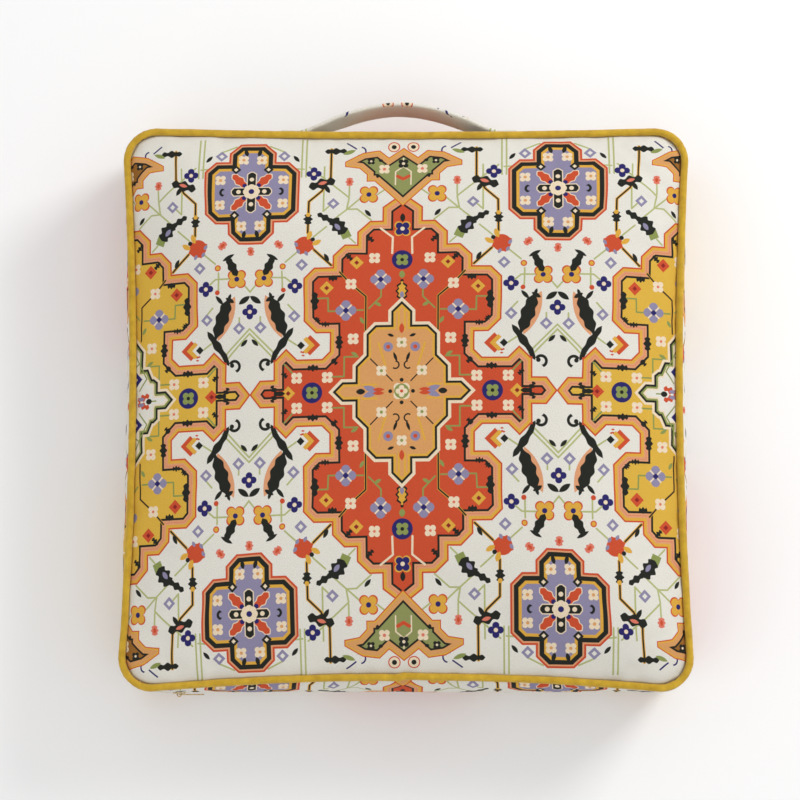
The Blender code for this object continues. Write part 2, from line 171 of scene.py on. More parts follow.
def panel_grid():
    """Plan positions of a square grid of cloth that fills the seam line, and each one's grid place."""
    count = SIDE_CELLS + 1
    plan = np.zeros((count, count, 2))
    edge = turn_points(-SEAM_TUCK, (1, 1, 1, 1), CORNER_RADIUS)
    straight = turn_points(-SEAM_TUCK, (0, 0, 0, 0), CORNER_RADIUS)
    for i in range(count):
        for j in range(count):
            u, v = 2 * i / SIDE_CELLS - 1, 2 * j / SIDE_CELLS - 1
            far = max(abs(u), abs(v))
            if far == 0:
                continue
            if abs(v) == far:
                side, share = (0, u / far) if v < 0 else (2, -u / far)
            else:
                side, share = (1, v / far) if u > 0 else (3, -v / far)
            place = (side + (share + 1) / 2) * SIDE_CELLS
            first = int(place) % len(edge)
            rest = place - int(place)
            following = (first + 1) % len(edge)
            bent = edge[first] * (1 - rest) + edge[following] * rest
            plain = straight[first] * (1 - rest) + straight[following] * rest
            plan[i, j] = far * (plain + (bent - plain) * far**3)
    return plan


def border(count):
    """Grid places round the edge of the panel, in the order of turn_points."""
    last = count - 1
    places = [(i, 0) for i in range(last)]
    places += [(last, j) for j in range(last)]
    places += [(i, last) for i in range(last, 0, -1)]
    places += [(0, j) for j in range(last, 0, -1)]
    return places


PIECES = ("top", "bottom", "left", "right", "handle_side", "zip_upper", "zip_lower", "opening")


def gusset_heights():
    """Heights of the gusset's rows, with rows at the zip opening's edges and half way up."""
    low, high = SEAM_LOW + SEAM_TUCK, SEAM_HIGH - SEAM_TUCK
    below = np.linspace(low, MIDDLE - ZIP_OPENING / 2, PANEL_ROWS + 1)
    above = np.linspace(MIDDLE + ZIP_OPENING / 2, high, PANEL_ROWS + 1)
    return np.concatenate([below, [MIDDLE], above])


def gusset_turn(height):
    """A turn of the gusset at this height, tucked in at its seams."""
    low, high = SEAM_LOW + SEAM_TUCK, SEAM_HIGH - SEAM_TUCK
    from_middle = abs(height - MIDDLE) / ((SEAM_HIGH - SEAM_LOW) / 2)
    out = (1 - from_middle**2) ** BULGE_FULLNESS
    tuck_in = SEAM_TUCK * (1 - smooth(min(height - low, high - height), 0, 0.006))
    slack = [1 - out * (1 - waist) for waist in GUSSET_WAIST]
    turn = turn_points(BULGE * out - tuck_in, slack, CORNER_RADIUS)
    return np.column_stack([turn, np.full(len(turn), height)])


def gusset_piece(column, row):
    """The panel that a gusset cell belongs to."""
    side, cell = divmod(column, SIDE_CELLS)
    straight = ARC_CELLS <= cell < SIDE_CELLS - ARC_CELLS
    if SIDES[side] == "handle" and straight:
        return "handle_side"
    if SIDES[side] == "zip" and straight:
        if row < PANEL_ROWS:
            return "zip_lower"
        return "zip_upper" if row > PANEL_ROWS + 1 else "opening"
    if SIDES[side] in ("left", "right"):
        return SIDES[side]
    starts_left = SIDES[side] == "zip"
    return "left" if starts_left == (cell < SIDE_CELLS / 2) else "right"


def lengths_along(grid, axis):
    """How far each point of a grid lies along the cloth from the grid's middle line."""
    steps = np.linalg.norm(np.diff(grid, axis=axis), axis=2)
    zero = np.zeros_like(steps.take([0], axis=axis))
    along = np.cumsum(np.concatenate([zero, steps], axis=axis), axis=axis)
    return along - along.take([SIDE_CELLS // 2], axis=axis)


def cage():
    """The cover as one closed mesh, with its cloth's flat coordinates, and the turns along its gusset."""
    plan = panel_grid()
    count = SIDE_CELLS + 1
    flat = plan.reshape(-1, 2)
    inset = inset_of(flat)
    tuck = SEAM_TUCK * (1 - smooth(inset, 0.0015, 0.009))
    top = np.column_stack([flat, crown_height(inset) - tuck])
    bottom = np.column_stack([flat, underside_height(inset) + tuck])
    grid = top.reshape(count, count, 3)
    top_cloth = np.stack([lengths_along(grid, 0), lengths_along(grid, 1)], axis=2).reshape(-1, 2)
    heights = gusset_heights()
    rows = [gusset_turn(height) for height in heights[1:-1]]
    points = np.concatenate([top, bottom, *rows])
    faces, pieces, cloth = [], [], []

    def index(i, j):
        return i * count + j

    for i in range(SIDE_CELLS):
        for j in range(SIDE_CELLS):
            quad = [index(i, j), index(i + 1, j), index(i + 1, j + 1), index(i, j + 1)]
            faces.append(quad)
            pieces.append("top")
            cloth.append(top_cloth[quad])
            turned = quad[::-1]
            faces.append([len(top) + k for k in turned])
            pieces.append("bottom")
            cloth.append(flat[turned])
    edge = [index(i, j) for i, j in border(count)]
    around = len(edge)
    turns = [[len(top) + k for k in edge]]
    turns += [list(range(2 * len(top) + row * around, 2 * len(top) + (row + 1) * around))
              for row in range(len(rows))]
    turns.append(edge)
    walk = np.linalg.norm(np.roll(rows[PANEL_ROWS], -1, axis=0) - rows[PANEL_ROWS], axis=1)
    for row, (low_turn, high_turn) in enumerate(zip(turns, turns[1:])):
        for column in range(around):
            after = (column + 1) % around
            faces.append([low_turn[column], low_turn[after], high_turn[after], high_turn[column]])
            pieces.append(gusset_piece(column, row))
            side = column // SIDE_CELLS
            start = (side + 0.5) * SIDE_CELLS
            across = walk[side * SIDE_CELLS:column].sum() - walk[side * SIDE_CELLS:int(start)].sum()
            corners = [(across, heights[row]), (across + walk[column], heights[row])]
            corners += [(x, heights[row + 1]) for x, _ in reversed(corners)]
            cloth.append(np.array(corners) + GUSSET_PRINT[side])
    return points, faces, pieces, np.concatenate(cloth), turns


def add(name, data):
    obj = bpy.data.objects.new(name, data)
    bpy.context.scene.collection.objects.link(obj)
    return obj


def pin(obj, weights):
    """A vertex group that holds points in place, by weight."""
    group = obj.vertex_groups.new(name="pinned")
    for weight in np.unique(weights[weights > 0]):
        group.add(np.flatnonzero(weights == weight).tolist(), float(weight), "REPLACE")


def positions(mesh, attribute="vertices", key="co"):
    found = np.zeros(len(mesh.vertices) * 3, np.float32)
    getattr(mesh, attribute).foreach_get(key, found)
    return found.reshape(-1, 3).astype(float)


def move_points(obj, places):
    obj.data.vertices.foreach_set("co", places.astype(np.float32).ravel())
    obj.data.update()


def blown_up(obj, pressure, spare, frames=20):
    """Where a cloth simulation carries the object's points, blown up from inside with no gravity.

    spare is how much longer the cloth is cut than the space that it is held in.
    """
    modifier = obj.modifiers.new("cloth", "CLOTH")
    cloth = modifier.settings
    cloth.vertex_group_mass = "pinned"
    cloth.effector_weights.gravity = 0
    cloth.use_pressure = True
    cloth.uniform_pressure_force = pressure
    cloth.tension_stiffness = 20
    cloth.compression_stiffness = 20
    cloth.shear_stiffness = 8
    cloth.bending_stiffness = 0.4
    cloth.shrink_min = -spare
    modifier.point_cache.frame_end = frames
    for frame_number in range(1, frames + 1):
        bpy.context.scene.frame_set(frame_number)
    result = obj.evaluated_get(bpy.context.evaluated_depsgraph_get())
    places = positions(result.data)
    obj.modifiers.remove(modifier)
    bpy.context.scene.frame_set(1)
    return places


def swell(obj, held):
    """Blows the cage up, holds each point near where it was, and never lets it far inside."""
    start = positions(obj.data)
    pin(obj, held)
    moved = blown_up(obj, SWELL_PRESSURE, SPARE_CLOTH) - start
    length = np.linalg.norm(moved, axis=1, keepdims=True)
    on_top = smooth(start[:, 2:], SEAM_HIGH - 0.002, SEAM_HIGH + 0.003)
    cap = SIDE_SWELL_CAP + (SWELL_CAP - SIDE_SWELL_CAP) * on_top
    moved = moved * cap / (cap + length)
    normals = positions(obj.data, "vertex_normals", "vector")
    outwards = np.sum(moved * normals, axis=1, keepdims=True)
    move_points(obj, start + moved + normals * (np.maximum(outwards, -SINK_CAP) - outwards))


def apply_modifiers(obj):
    """The object's mesh as its modifiers leave it."""
    made = bpy.data.meshes.new_from_object(obj.evaluated_get(bpy.context.evaluated_depsgraph_get()))
    obj.modifiers.clear()
    obj.data = made


def subdivide(obj):
    step = obj.modifiers.new("finer", "SUBSURF")
    step.levels = step.render_levels = 1
    apply_modifiers(obj)


def waves(places, size, seed):
    """Smooth noise from -1 to 1 over waves of about this size."""
    shift = Vector((seed * 7.3, seed * 3.1, seed * 5.7))
    return np.array([noise.noise(Vector(place) / size + shift) for place in places])


def pucker(obj):
    """Gathers along the seams, drapes across the gusset and broad dips in the top."""
    places = positions(obj.data)
    normals = positions(obj.data, "vertex_normals", "vector")
    height = places[:, 2]
    inset = inset_of(places[:, :2])
    on_top = smooth(height, SEAM_HIGH - 0.003, SEAM_HIGH + 0.001)
    to_seams = np.minimum(np.clip(SEAM_HIGH - height, 0, None), np.clip(height - SEAM_LOW, 0, None))
    from_seam = np.where(on_top > 0.5, inset, to_seams)
    along = places * (1, 1, GATHER_STRETCH)
    gathers = waves(along, 0.011, 1) + 0.6 * waves(along, 0.021, 2)
    gathers *= np.exp(-from_seam / GATHER_RUN) * smooth(from_seam, 0.001, 0.004)
    on_side = (1 - on_top) * (height > SEAM_LOW + 0.002)
    drapes = waves(places * (1, 1, 0.7) + places[:, 2:] * (0.6, 0.6, 0), 0.045, 3)
    drapes *= smooth(from_seam, 0.0, 0.02) * on_side
    broad = waves(places, 0.07, 4) * on_top * smooth(inset, 0.0, 0.03)
    lift = GATHER_DEPTH * gathers + DRAPE_DEPTH * drapes + DIP_DEPTH * broad
    lift = np.maximum(lift, -DEEPEST_DIP + 0.001 * on_side)
    lift *= height > SEAM_LOW + 0.0005
    by_zip = (places[:, 1] < 0) * (1 - smooth(np.abs(height - MIDDLE), 0.006, 0.014)) * (1 - on_top)
    lift *= 1 - 0.9 * by_zip
    places += normals * lift[:, None]
    press_under_strap(places)
    move_points(obj, places)


def press_under_strap(places):
    """Keeps the handle's side behind the strap that is sewn to it."""
    fade = 0.012
    by_strap = smooth(STRAP_REACH + fade - np.abs(places[:, 0] - HANDLE_X), 0, fade)
    by_strap *= smooth(STRAP_WIDTH / 2 + fade - np.abs(places[:, 2] - MIDDLE), 0, fade)
    by_strap *= places[:, 1] > 0
    room = STRAP_LOW.y - STRAP_CLEAR
    places[:, 1] -= by_strap * np.maximum(places[:, 1] - room, 0)


def cut_piece(cover, name, piece, material, *nodes):
    """One panel of the cover, with its cloth's thickness on the inner side."""
    obj = add(name, cover.data.copy())
    wanted = PIECES.index(piece)
    made = bmesh.new()
    made.from_mesh(obj.data)
    others = [face for face in made.faces if face.material_index != wanted]
    bmesh.ops.delete(made, geom=others, context="FACES")
    for face in made.faces:
        face.material_index = 0
        face.smooth = True
    made.to_mesh(obj.data)
    made.free()
    obj.data.materials.clear()
    obj.data.materials.append(material)
    thickness = obj.modifiers.new("thickness", "SOLIDIFY")
    thickness.thickness = CLOTH
    thickness.offset = -1
    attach(obj, "cushion")
    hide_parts(*nodes)
    return obj


def cover_cage():
    """The blown-up and puckered cover, its faces numbered by panel."""
    points, faces, pieces, cloth, turns = cage()
    mesh = bpy.data.meshes.new("cover")
    mesh.from_pydata(points.tolist(), [], faces)
    mesh.polygons.foreach_set("material_index", [PIECES.index(piece) for piece in pieces])
    mesh.uv_layers.new(name="cloth").data.foreach_set("uv", cloth.astype(np.float32).ravel())
    mesh.shade_smooth()
    cover = add("cover", mesh)
    for _ in PIECES:
        mesh.materials.append(None)
    held = np.zeros(len(points))
    held[turns[0] + turns[-1]] = 1
    in_panels = np.arange(len(points)) < 2 * (SIDE_CELLS + 1) ** 2
    held[(points[:, 2] < FLOOR_CONTACT) & in_panels] = 1
    swell(cover, held)
    subdivide(cover)
    pucker(cover)
    return cover


def cover_panels(cover, printed, plain):
    """The sewn panels, as sheets of cloth stretched over the filling."""
    width, depth = 2 * HALF
    height = SEAM_HIGH - SEAM_LOW
    wrap = pi / 2 * CORNER_RADIUS
    rows = (
        ("top_cloth", "top", printed, (width, depth), ("top_panel",)),
        ("bottom_cloth", "bottom", plain, (width, depth), ("bottom_panel",)),
        ("left_cloth", "left", printed, (depth + wrap, height), ("gusset_left",)),
        ("right_cloth", "right", printed, (depth + wrap, height), ("gusset_right",)),
        ("handle_side_cloth", "handle_side", printed, (width - 2 * CORNER_RADIUS, height),
         ("gusset_handle_side",)),
        ("zip_cloth_upper", "zip_upper", printed, (width - 2 * CORNER_RADIUS, height / 2),
         ("zip_panel_upper",)),
        ("zip_cloth_lower", "zip_lower", printed, (width - 2 * CORNER_RADIUS, height / 2),
         ("zip_panel_lower",)),
    )
    for name, piece, material, flat, nodes in rows:
        panel = cut_piece(cover, name, piece, material, *nodes)
    bpy.data.objects.remove(cover)


# The print, in millimetres on the flat cloth. It repeats by mirroring: one quarter of the carpet
# design runs from the middle of the red medallion out to the middle of the gold one.
REPEAT = 134  # from the red medallion's middle to the line that mirrors it into the gold one
PRINT_CENTRE = (-3.9, 11.0)  # the red medallion's middle on the top panel
DRIFT = (0.000084, 0.000135)  # how the cloth's pull crowds the print towards +X and -Y, per mm
BOW = (0.00004, 0.00007)  # how it bows each axis of the print, per mm
TILT = 0.015  # how far the print lies turned on the cushion, in radians
INK_EDGE = 0.35  # how softly one colour meets the next


def srgb(red, green, blue):
    """A colour in everyday steps of 0 to 255, as the linear one that a shader takes."""
    steps = np.array([red, green, blue]) / 255
    linear = np.where(steps > 0.04045, ((steps + 0.055) / 1.055) ** 2.4, steps / 12.92)
    return (*linear.tolist(), 1.0)


GROUND = srgb(240, 237, 228)
OLIVE = srgb(150, 156, 96)
WHITE = srgb(255, 255, 255)
VERMILION = srgb(214, 84, 50)
BLACK = srgb(36, 38, 32)
YELLOW = srgb(233, 178, 70)
GOLD = srgb(231, 186, 72)
PEACH = srgb(228, 166, 104)
SALMON = srgb(233, 166, 122)
CREAM = srgb(248, 228, 198)
LAVENDER = srgb(150, 144, 176)
NAVY = srgb(44, 40, 108)
GREEN = srgb(146, 158, 88)
STEM_GREEN = srgb(186, 192, 128)
BROWN = srgb(158, 106, 44)
WINE = srgb(150, 40, 36)
ROSE = srgb(232, 128, 106)


class Nodes:
    """Short ways to make a tree's nodes."""

    def __init__(self, tree):
        self.tree = tree

    def feed(self, slot, value):
        if isinstance(value, bpy.types.NodeSocket):
            self.tree.links.new(value, slot)
        else:
            slot.default_value = value

    def node(self, kind, *values, output=0, **settings):
        made = self.tree.nodes.new("ShaderNode" + kind)
        for key, value in settings.items():
            setattr(made, key, value)
        for slot, value in zip(made.inputs, values):
            self.feed(slot, value)
        return made.outputs[output]

    def math(self, operation, *values, **settings):
        return self.node("Math", *values, operation=operation, **settings)

    def vector(self, operation, *values):
        output = 1 if operation in ("DOT_PRODUCT", "DISTANCE", "LENGTH") else 0
        return self.node("VectorMath", *values, operation=operation, output=output)

    def noise(self, place, scale, detail):
        made = self.node("TexNoise", place)
        made.node.inputs["Scale"].default_value = scale
        made.node.inputs["Detail"].default_value = detail
        return made

    def bump(self, height, depth, strength=0.8):
        made = self.node("Bump", strength)
        self.feed(made.node.inputs["Distance"], depth)
        self.feed(made.node.inputs["Height"], height)
        return made

    def mix(self, factor, first, second, blend="MIX"):
        made = self.tree.nodes.new("ShaderNodeMix")
        made.data_type = "RGBA"
        made.blend_type = blend
        for slot, value in zip((0, 6, 7), (factor, first, second)):
            self.feed(made.inputs[slot], value)
        return made.outputs[2]

    def ramp(self, factor, *stops, interpolation="LINEAR"):
        """A colour ramp through stops of (place, colour)."""
        made = self.tree.nodes.new("ShaderNodeValToRGB")
        made.color_ramp.interpolation = interpolation
        elements = made.color_ramp.elements
        while len(elements) < len(stops):
            elements.new(0.5)
        for element, (place, colour) in zip(elements, stops):
            element.position = place
            element.color = colour
        self.feed(made.inputs[0], factor)
        return made.outputs[0]


class Look(Nodes):
    """A material and its nodes."""

    def __init__(self, name):
        self.material = bpy.data.materials.new(name)
        self.material.use_nodes = True
        super().__init__(self.material.node_tree)
        self.shader = self.tree.nodes["Principled BSDF"]

    def set(self, **values):
        """Values for the shader's own sockets, such as Roughness=0.9."""
        for name, value in values.items():
            self.feed(self.shader.inputs[name.replace("_", " ")], value)


class Print:
    """Colours printed one over another on the cloth, by distance from each motif's outline."""

    def __init__(self, nodes, colour, place, gold):
        self.nodes = nodes
        self.colour = colour
        self.place = place
        self.gold = gold

    def near(self, at, turn=0):
        """The cloth as a motif at this spot sees it, turned by these degrees."""
        moved = self.nodes.vector("SUBTRACT", self.place, (*at, 0))
        if turn == 0:
            return moved
        x, y = cos(radians(turn)), sin(radians(turn))
        along = self.nodes.vector("DOT_PRODUCT", moved, (x, y, 0))
        across = self.nodes.vector("DOT_PRODUCT", moved, (-y, x, 0))
        return self.nodes.node("CombineXYZ", along, across, 0.0)

    def folded(self, at, turn=0):
        """The same, mirrored in both of the motif's own axes."""
        return self.nodes.vector("ABSOLUTE", self.near(at, turn))

    def lay(self, distance, reach, colour, edge=INK_EDGE):
        """Prints a colour where distance is less than reach."""
        mask = self.nodes.math("MULTIPLY_ADD", distance, -1 / edge, 0.5 + reach / edge, use_clamp=True)
        self.colour = self.nodes.mix(mask, self.colour, colour)

    def lay_all(self, distance, *layers):
        for reach, colour in layers:
            self.lay(distance, reach, colour)

    def spot(self, at, *layers):
        """A disc of rings, each (radius, colour), widest first."""
        self.lay_all(self.nodes.vector("DISTANCE", self.place, (*at, 0)), *layers)

    def diamond(self, at, *layers, turn=0):
        self.lay_all(self.nodes.vector("DOT_PRODUCT", self.folded(at, turn), (1, 1, 0)), *layers)

    def quatrefoil(self, at, size, petals, heart, turn=0, heart_size=0.3):
        """Four round petals on the diagonals of its frame, and a heart."""
        lobe = size * 0.45
        distance = self.nodes.vector("DISTANCE", self.folded(at, turn), (lobe, lobe, 0))
        self.lay(distance, size * 0.5, petals)
        self.spot(at, (size * heart_size, heart))

    def leaf(self, at, turn, length, width, colour, ripple=0.0, ripples=3):
        """A pointed oval, with a rippled edge if asked."""
        half, side = length / 2, width / 2
        radius = (half**2 + side**2) / (2 * side)
        own = self.folded(at, turn)
        distance = self.nodes.vector("DISTANCE", own, (0, side - radius, 0))
        if ripple:
            along = self.nodes.vector("DOT_PRODUCT", own, (ripples * 2 * pi / length, 0, 0))
            distance = self.nodes.math("MULTIPLY_ADD", self.nodes.math("COSINE", along), -ripple, distance)
        self.lay(distance, radius, colour)

    def curl(self, at, turn, radius, width, colour, opening=0.0):
        """An arc of a ring, open on its frame's -X side."""
        own = self.near(at, turn)
        off = self.nodes.math("SUBTRACT", self.nodes.vector("LENGTH", own), radius)
        band = self.nodes.math("SUBTRACT", self.nodes.math("ABSOLUTE", off), width / 2)
        cut = self.nodes.vector("DOT_PRODUCT", own, (-1, 0, 0))
        cut = self.nodes.math("SUBTRACT", cut, radius * opening)
        self.lay(self.nodes.math("MAXIMUM", band, cut), 0, colour)

    def stretch(self, first, second):
        """Distance from the straight line between two points."""
        first, second = np.array(first, float), np.array(second, float)
        along = second - first
        turn = np.degrees(np.arctan2(along[1], along[0]))
        own = self.folded((first + second) / 2, turn)
        beyond = self.nodes.vector("SUBTRACT", own, (np.hypot(*along) / 2, 0, 0))
        return self.nodes.vector("LENGTH", self.nodes.vector("MAXIMUM", beyond, (0, 0, 0)))

    def stems(self, lines, *layers):
        """Lines through points, all printed in the same (half width, colour) layers."""
        pairs = [pair for line in lines for pair in zip(line, line[1:])]
        distance = self.stretch(*pairs[0])
        for pair in pairs[1:]:
            distance = self.nodes.math("MINIMUM", distance, self.stretch(*pair))
        self.lay_all(distance, *layers)

    def within(self, place, *shapes):
        """Distance outside a union of shapes, each the overlap of half-planes (x, y, reach)."""
        whole = None
        for shape in shapes:
            overlap = None
            for x, y, reach in shape:
                size = np.hypot(x, y)
                side = self.nodes.vector("DOT_PRODUCT", place, (x / size, y / size, 0))
                side = self.nodes.math("SUBTRACT", side, reach / size)
                overlap = side if overlap is None else self.nodes.math("MAXIMUM", overlap, side)
            whole = overlap if whole is None else self.nodes.math("MINIMUM", whole, overlap)
        return whole

    def banded(self, distance, bands, field):
        """Bands of (width, colour) from an outline inwards, then a field."""
        depth = 0.0
        for width, colour in bands:
            self.lay(distance, -depth, colour)
            depth += width
        self.lay(distance, -depth, field)


def carpet_place(nodes):
    """The cloth's place in one quarter of the print, and 1 where it repeats in gold."""
    cloth = nodes.node("UVMap", uv_map="cloth")
    cloth = nodes.vector("SCALE", cloth, (0, 0, 0), (0, 0, 0), 1000.0)
    centred = nodes.vector("SUBTRACT", cloth, (*PRINT_CENTRE, 0))
    drift = nodes.vector("MULTIPLY_ADD", centred, (-DRIFT[0], DRIFT[1], 0), (1, 1, 1))
    along = nodes.node("SeparateXYZ", centred)
    squares = nodes.node("SeparateXYZ", nodes.vector("MULTIPLY", centred, centred))
    sag = nodes.math("MULTIPLY_ADD", squares, BOW[1], nodes.math("MULTIPLY", along, -TILT))
    bend = nodes.node("CombineXYZ", nodes.math("MULTIPLY", squares.node.outputs[1], -BOW[0]), sag, 0.0)
    whole = nodes.vector("ABSOLUTE", nodes.vector("MULTIPLY_ADD", centred, drift, bend))
    axes = nodes.node("SeparateXYZ", whole)
    across = nodes.math("PINGPONG", axes, 2 * REPEAT)
    from_mirror = nodes.math("ABSOLUTE", nodes.math("SUBTRACT", REPEAT, across))
    upright = axes.node.outputs[1]
    quarter = nodes.node("CombineXYZ", nodes.math("SUBTRACT", REPEAT, from_mirror), upright, 0.0)
    return quarter, nodes.math("GREATER_THAN", across, REPEAT)


MEDALLION = (
    ((1, 0.8, 134.5), (0, 1, 12.1)),
    ((1, 0, 112.4), (0, 1, 29.3)),
    ((1, 0, 112.4), (1, 1, 140.2), (-1, 1, -62)),
    ((1, 1, 98.7),),
    ((1, 0, 62.9), (0, 1, 80)),
    ((1, 0, 86.2), (0, 1, 111.3), (0, -1, -51.7), (1, -1, 23.5), (1, 1, 188.1)),
    ((1, 0, 60.8), (1, 1, 182.6), (0, 1, 132.3)),
    ((1, 0, 39.5), (1, 1, 184), (0, 1, 155.4)),
    ((1, 0, 17.7), (0.75, 1, 181.5)),
)
HEART = (
    ((1, 1, 58.5), (0, 1, 7.5)),
    ((1, 0, 39), (1, 1, 60.8)),
    ((1, 0, 29.5), (1, 1, 79.4), (0, 1, 57.1)),
    ((1, 0, 8.1), (1, 1, 78)),
)
GOLD_HEART = (
    ((1, 0.9, 62), (0, 1, 6.5)),
    ((1, 0, 47.5), (1, 1.2, 66), (0, 1, 18)),
    ((1, 0.45, 50.5), (0, 1, 27)),
    ((1, 0, 32.5), (1, 0.9, 72), (0, 1, 55)),
)
END_MEDALLION = (
    ((1, 0, 6), (0, -1, -176.6), (0, 1, 184)),
    ((1, -1.08, -189.5), (0.77, 1, 228)),
    ((0, -1, -193.5), (1, 0, 32.2), (0, 1, 214)),
    ((1, -1, -168.4), (0.567, 1, 244), (0.133, 1, 228.4), (-0.914, 1, 206.4)),
    ((0.177, -1, -200.2), (1, 0, 51.7), (0.567, 1, 244), (0.133, 1, 228.4), (-0.914, 1, 206.4)),
)
CARTOUCHE = (
    ((1, 0, 21.2), (0, 1, 50.6), (1, 1, 62)),
    ((1, 0, 42.7), (1, 1, 63.6), (0, 1, 30.8)),
)


def ground_stems(print_):
    """Pale stems and the black and yellow ones that cross the off-white ground."""
    pale = (
        ((111.5, 30.2), (135.6, 55.3)),
        ((109, 32.7), (134, 57.8)),
        ((91.1, 41.5), (102.6, 49.1)),
        ((97.4, 98.9), (102.6, 103.3), (116, 103.3)),
        ((105.4, 93.3), (105.4, 109)),
        ((127.4, 98.6), (134.7, 89.8)),
        ((102.2, 117.3), (91.1, 126.8)),
        ((41, 133.6), (46.4, 138.7)),
        ((77.7, 140), (66.7, 149.7)),
        ((59, 157.7), (36.3, 178.2)),
        ((27.3, 156), (40, 167), (49.1, 167), (47.2, 178.2), (83.1, 210)),
        ((22.6, 180.3), (14.4, 186.5)),
        ((47.2, 179.9), (47.2, 190.6)),
        ((69.7, 165), (69.7, 210)),
        ((69.7, 165), (64.8, 169.9)),
        ((88, 208), (134, 212)),
        ((86, 200), (86, 240)),
        ((90, 200), (90, 240)),
        ((105, 226), (119, 233)),
        ((124.5, 60), (124.5, 68)),
        ((94.4, 72), (100, 78)),
    )
    print_.stems(pale, (0.75, STEM_GREEN))
    dark = (
        ((61.9, 113), (77.2, 127.6)),
        ((83, 143.8), (82.6, 174.8), (71.4, 185.6)),
        ((71.4, 185.6), (64, 199), (64, 228)),
    )
    print_.stems(dark, (1.5, YELLOW), (0.75, BLACK))


def saz_leaf(print_):
    """The long black leaf: a curl, a scalloped body with a salmon backing, and a hook."""
    print_.leaf((112.6, 68), 68, 42, 12, SALMON)
    print_.leaf((104.5, 44), 125, 36, 6.5, BLACK, ripple=0.5)
    print_.leaf((108.8, 68), 70, 44, 11.5, BLACK, ripple=0.8, ripples=4)
    print_.curl((119.8, 25.5), 40, 4.6, 2.6, BLACK, opening=0.4)
    print_.spot((117.5, 26.5), (2, BLACK))
    print_.leaf((112, 31.5), 118, 12, 4.5, BLACK)
    print_.leaf((106.5, 84.5), 130, 11, 3.6, BLACK)
    print_.leaf((116, 84), 150, 9, 4, BLACK)
    print_.spot((104.4, 91.5), (2.2, VERMILION))


def ground_buds(print_):
    """Small flowers and buds on the off-white ground."""
    for at in ((94.4, 67.6), (124.3, 58.7), (87.8, 114.2), (61.1, 172.4), (106, 222)):
        print_.diamond(at, (5.6, LAVENDER), (2.4, GROUND))
    print_.leaf((129, 83.5), 35, 12, 5, BLACK)
    for at in ((93.8, 95.2), (134, 73), (79, 203), (122, 219)):
        print_.quatrefoil(at, 6, NAVY, CREAM, turn=45)
    for at in ((121.9, 102.7), (29.9, 180.7)):
        print_.quatrefoil(at, 8.6, VERMILION, NAVY)
        print_.quatrefoil(at, 7.4, YELLOW, NAVY)
    print_.spot((104.6, 113.4), (2.8, VERMILION), (1.8, YELLOW))
    print_.leaf((117.5, 114), 118, 21, 7.5, BLACK, ripple=0.5)
    print_.leaf((114, 122.5), 30, 12, 3.5, BLACK)
    for at, turn in (((108.4, 133.6), 45), ((47.2, 193.9), 90), ((134, 128), 90)):
        print_.leaf(at, turn, 9.5, 6.5, ROSE, ripple=0.5)
        print_.leaf(at, turn, 5, 2.6, VERMILION)


def ground_birds(print_):
    """Fan flowers, irises and birds on the off-white ground."""
    print_.leaf((86, 39), 90, 13, 4, VERMILION, ripple=1.2, ripples=4)
    print_.diamond((80, 41.5), (9, VERMILION))
    print_.diamond((83.5, 41.5), (7.6, YELLOW))
    print_.diamond((86.5, 41.5), (5.5, GROUND))
    print_.diamond((88, 41.5), (3.6, BLACK))
    print_.spot((85.8, 132.3), (8, VERMILION))
    print_.diamond((85.8, 132.3), (9.6, VERMILION), turn=22)
    for at in ((91, 126.5), (84, 124.5), (93, 133)):
        print_.leaf(at, 60, 5, 3, LAVENDER)
    for at, turn in (((75, 134.5), 150), ((81.5, 141.5), 110)):
        print_.leaf(at, turn, 9, 4.6, YELLOW)
    print_.spot((78.5, 137.5), (2, BLACK))
    print_.leaf((83, 157.2), 90, 12, 7, BLACK, ripple=0.8)
    print_.spot((83, 161.5), (2, YELLOW))
    print_.diamond((49.9, 142.5), (6, GREEN), turn=20)
    print_.leaf((56, 150), 52, 20, 12, BLACK, ripple=1.2)
    print_.leaf((68, 158.5), 32, 18, 5.6, BLACK, ripple=0.7)
    print_.leaf((57, 149.3), 52, 7.5, 4, LAVENDER)
    print_.leaf((71.5, 192.7), 165, 27, 9, BLACK, ripple=1.2)
    print_.leaf((67, 187.5), 60, 10, 4, BLACK)
    print_.leaf((71, 193.5), 165, 8, 3.4, ROSE)
    for at, turn in (((30.4, 162.8), 50), ((66.1, 120.3), 60), ((129.1, 45.5), 45), ((95, 219), 50)):
        print_.leaf(at, turn, 8.5, 3.4, BLACK)
    print_.leaf((113, 206), 25, 18, 5.5, BLACK, ripple=1.0)
    print_.leaf((106.5, 203), 120, 9, 3, BLACK)
    print_.leaf((60, 226), 0, 22, 5.5, BLACK, ripple=0.8)
    print_.leaf((48, 224.5), 160, 12, 4, GREEN)
    print_.curl((38, 225), 200, 4.5, 1.4, NAVY, opening=0.2)
    print_.stems((((42, 228), (50, 234)),), (0.7, NAVY))
    print_.spot((8.5, 229), (5.4, VERMILION), (4.4, CREAM), (2.2, BLACK))


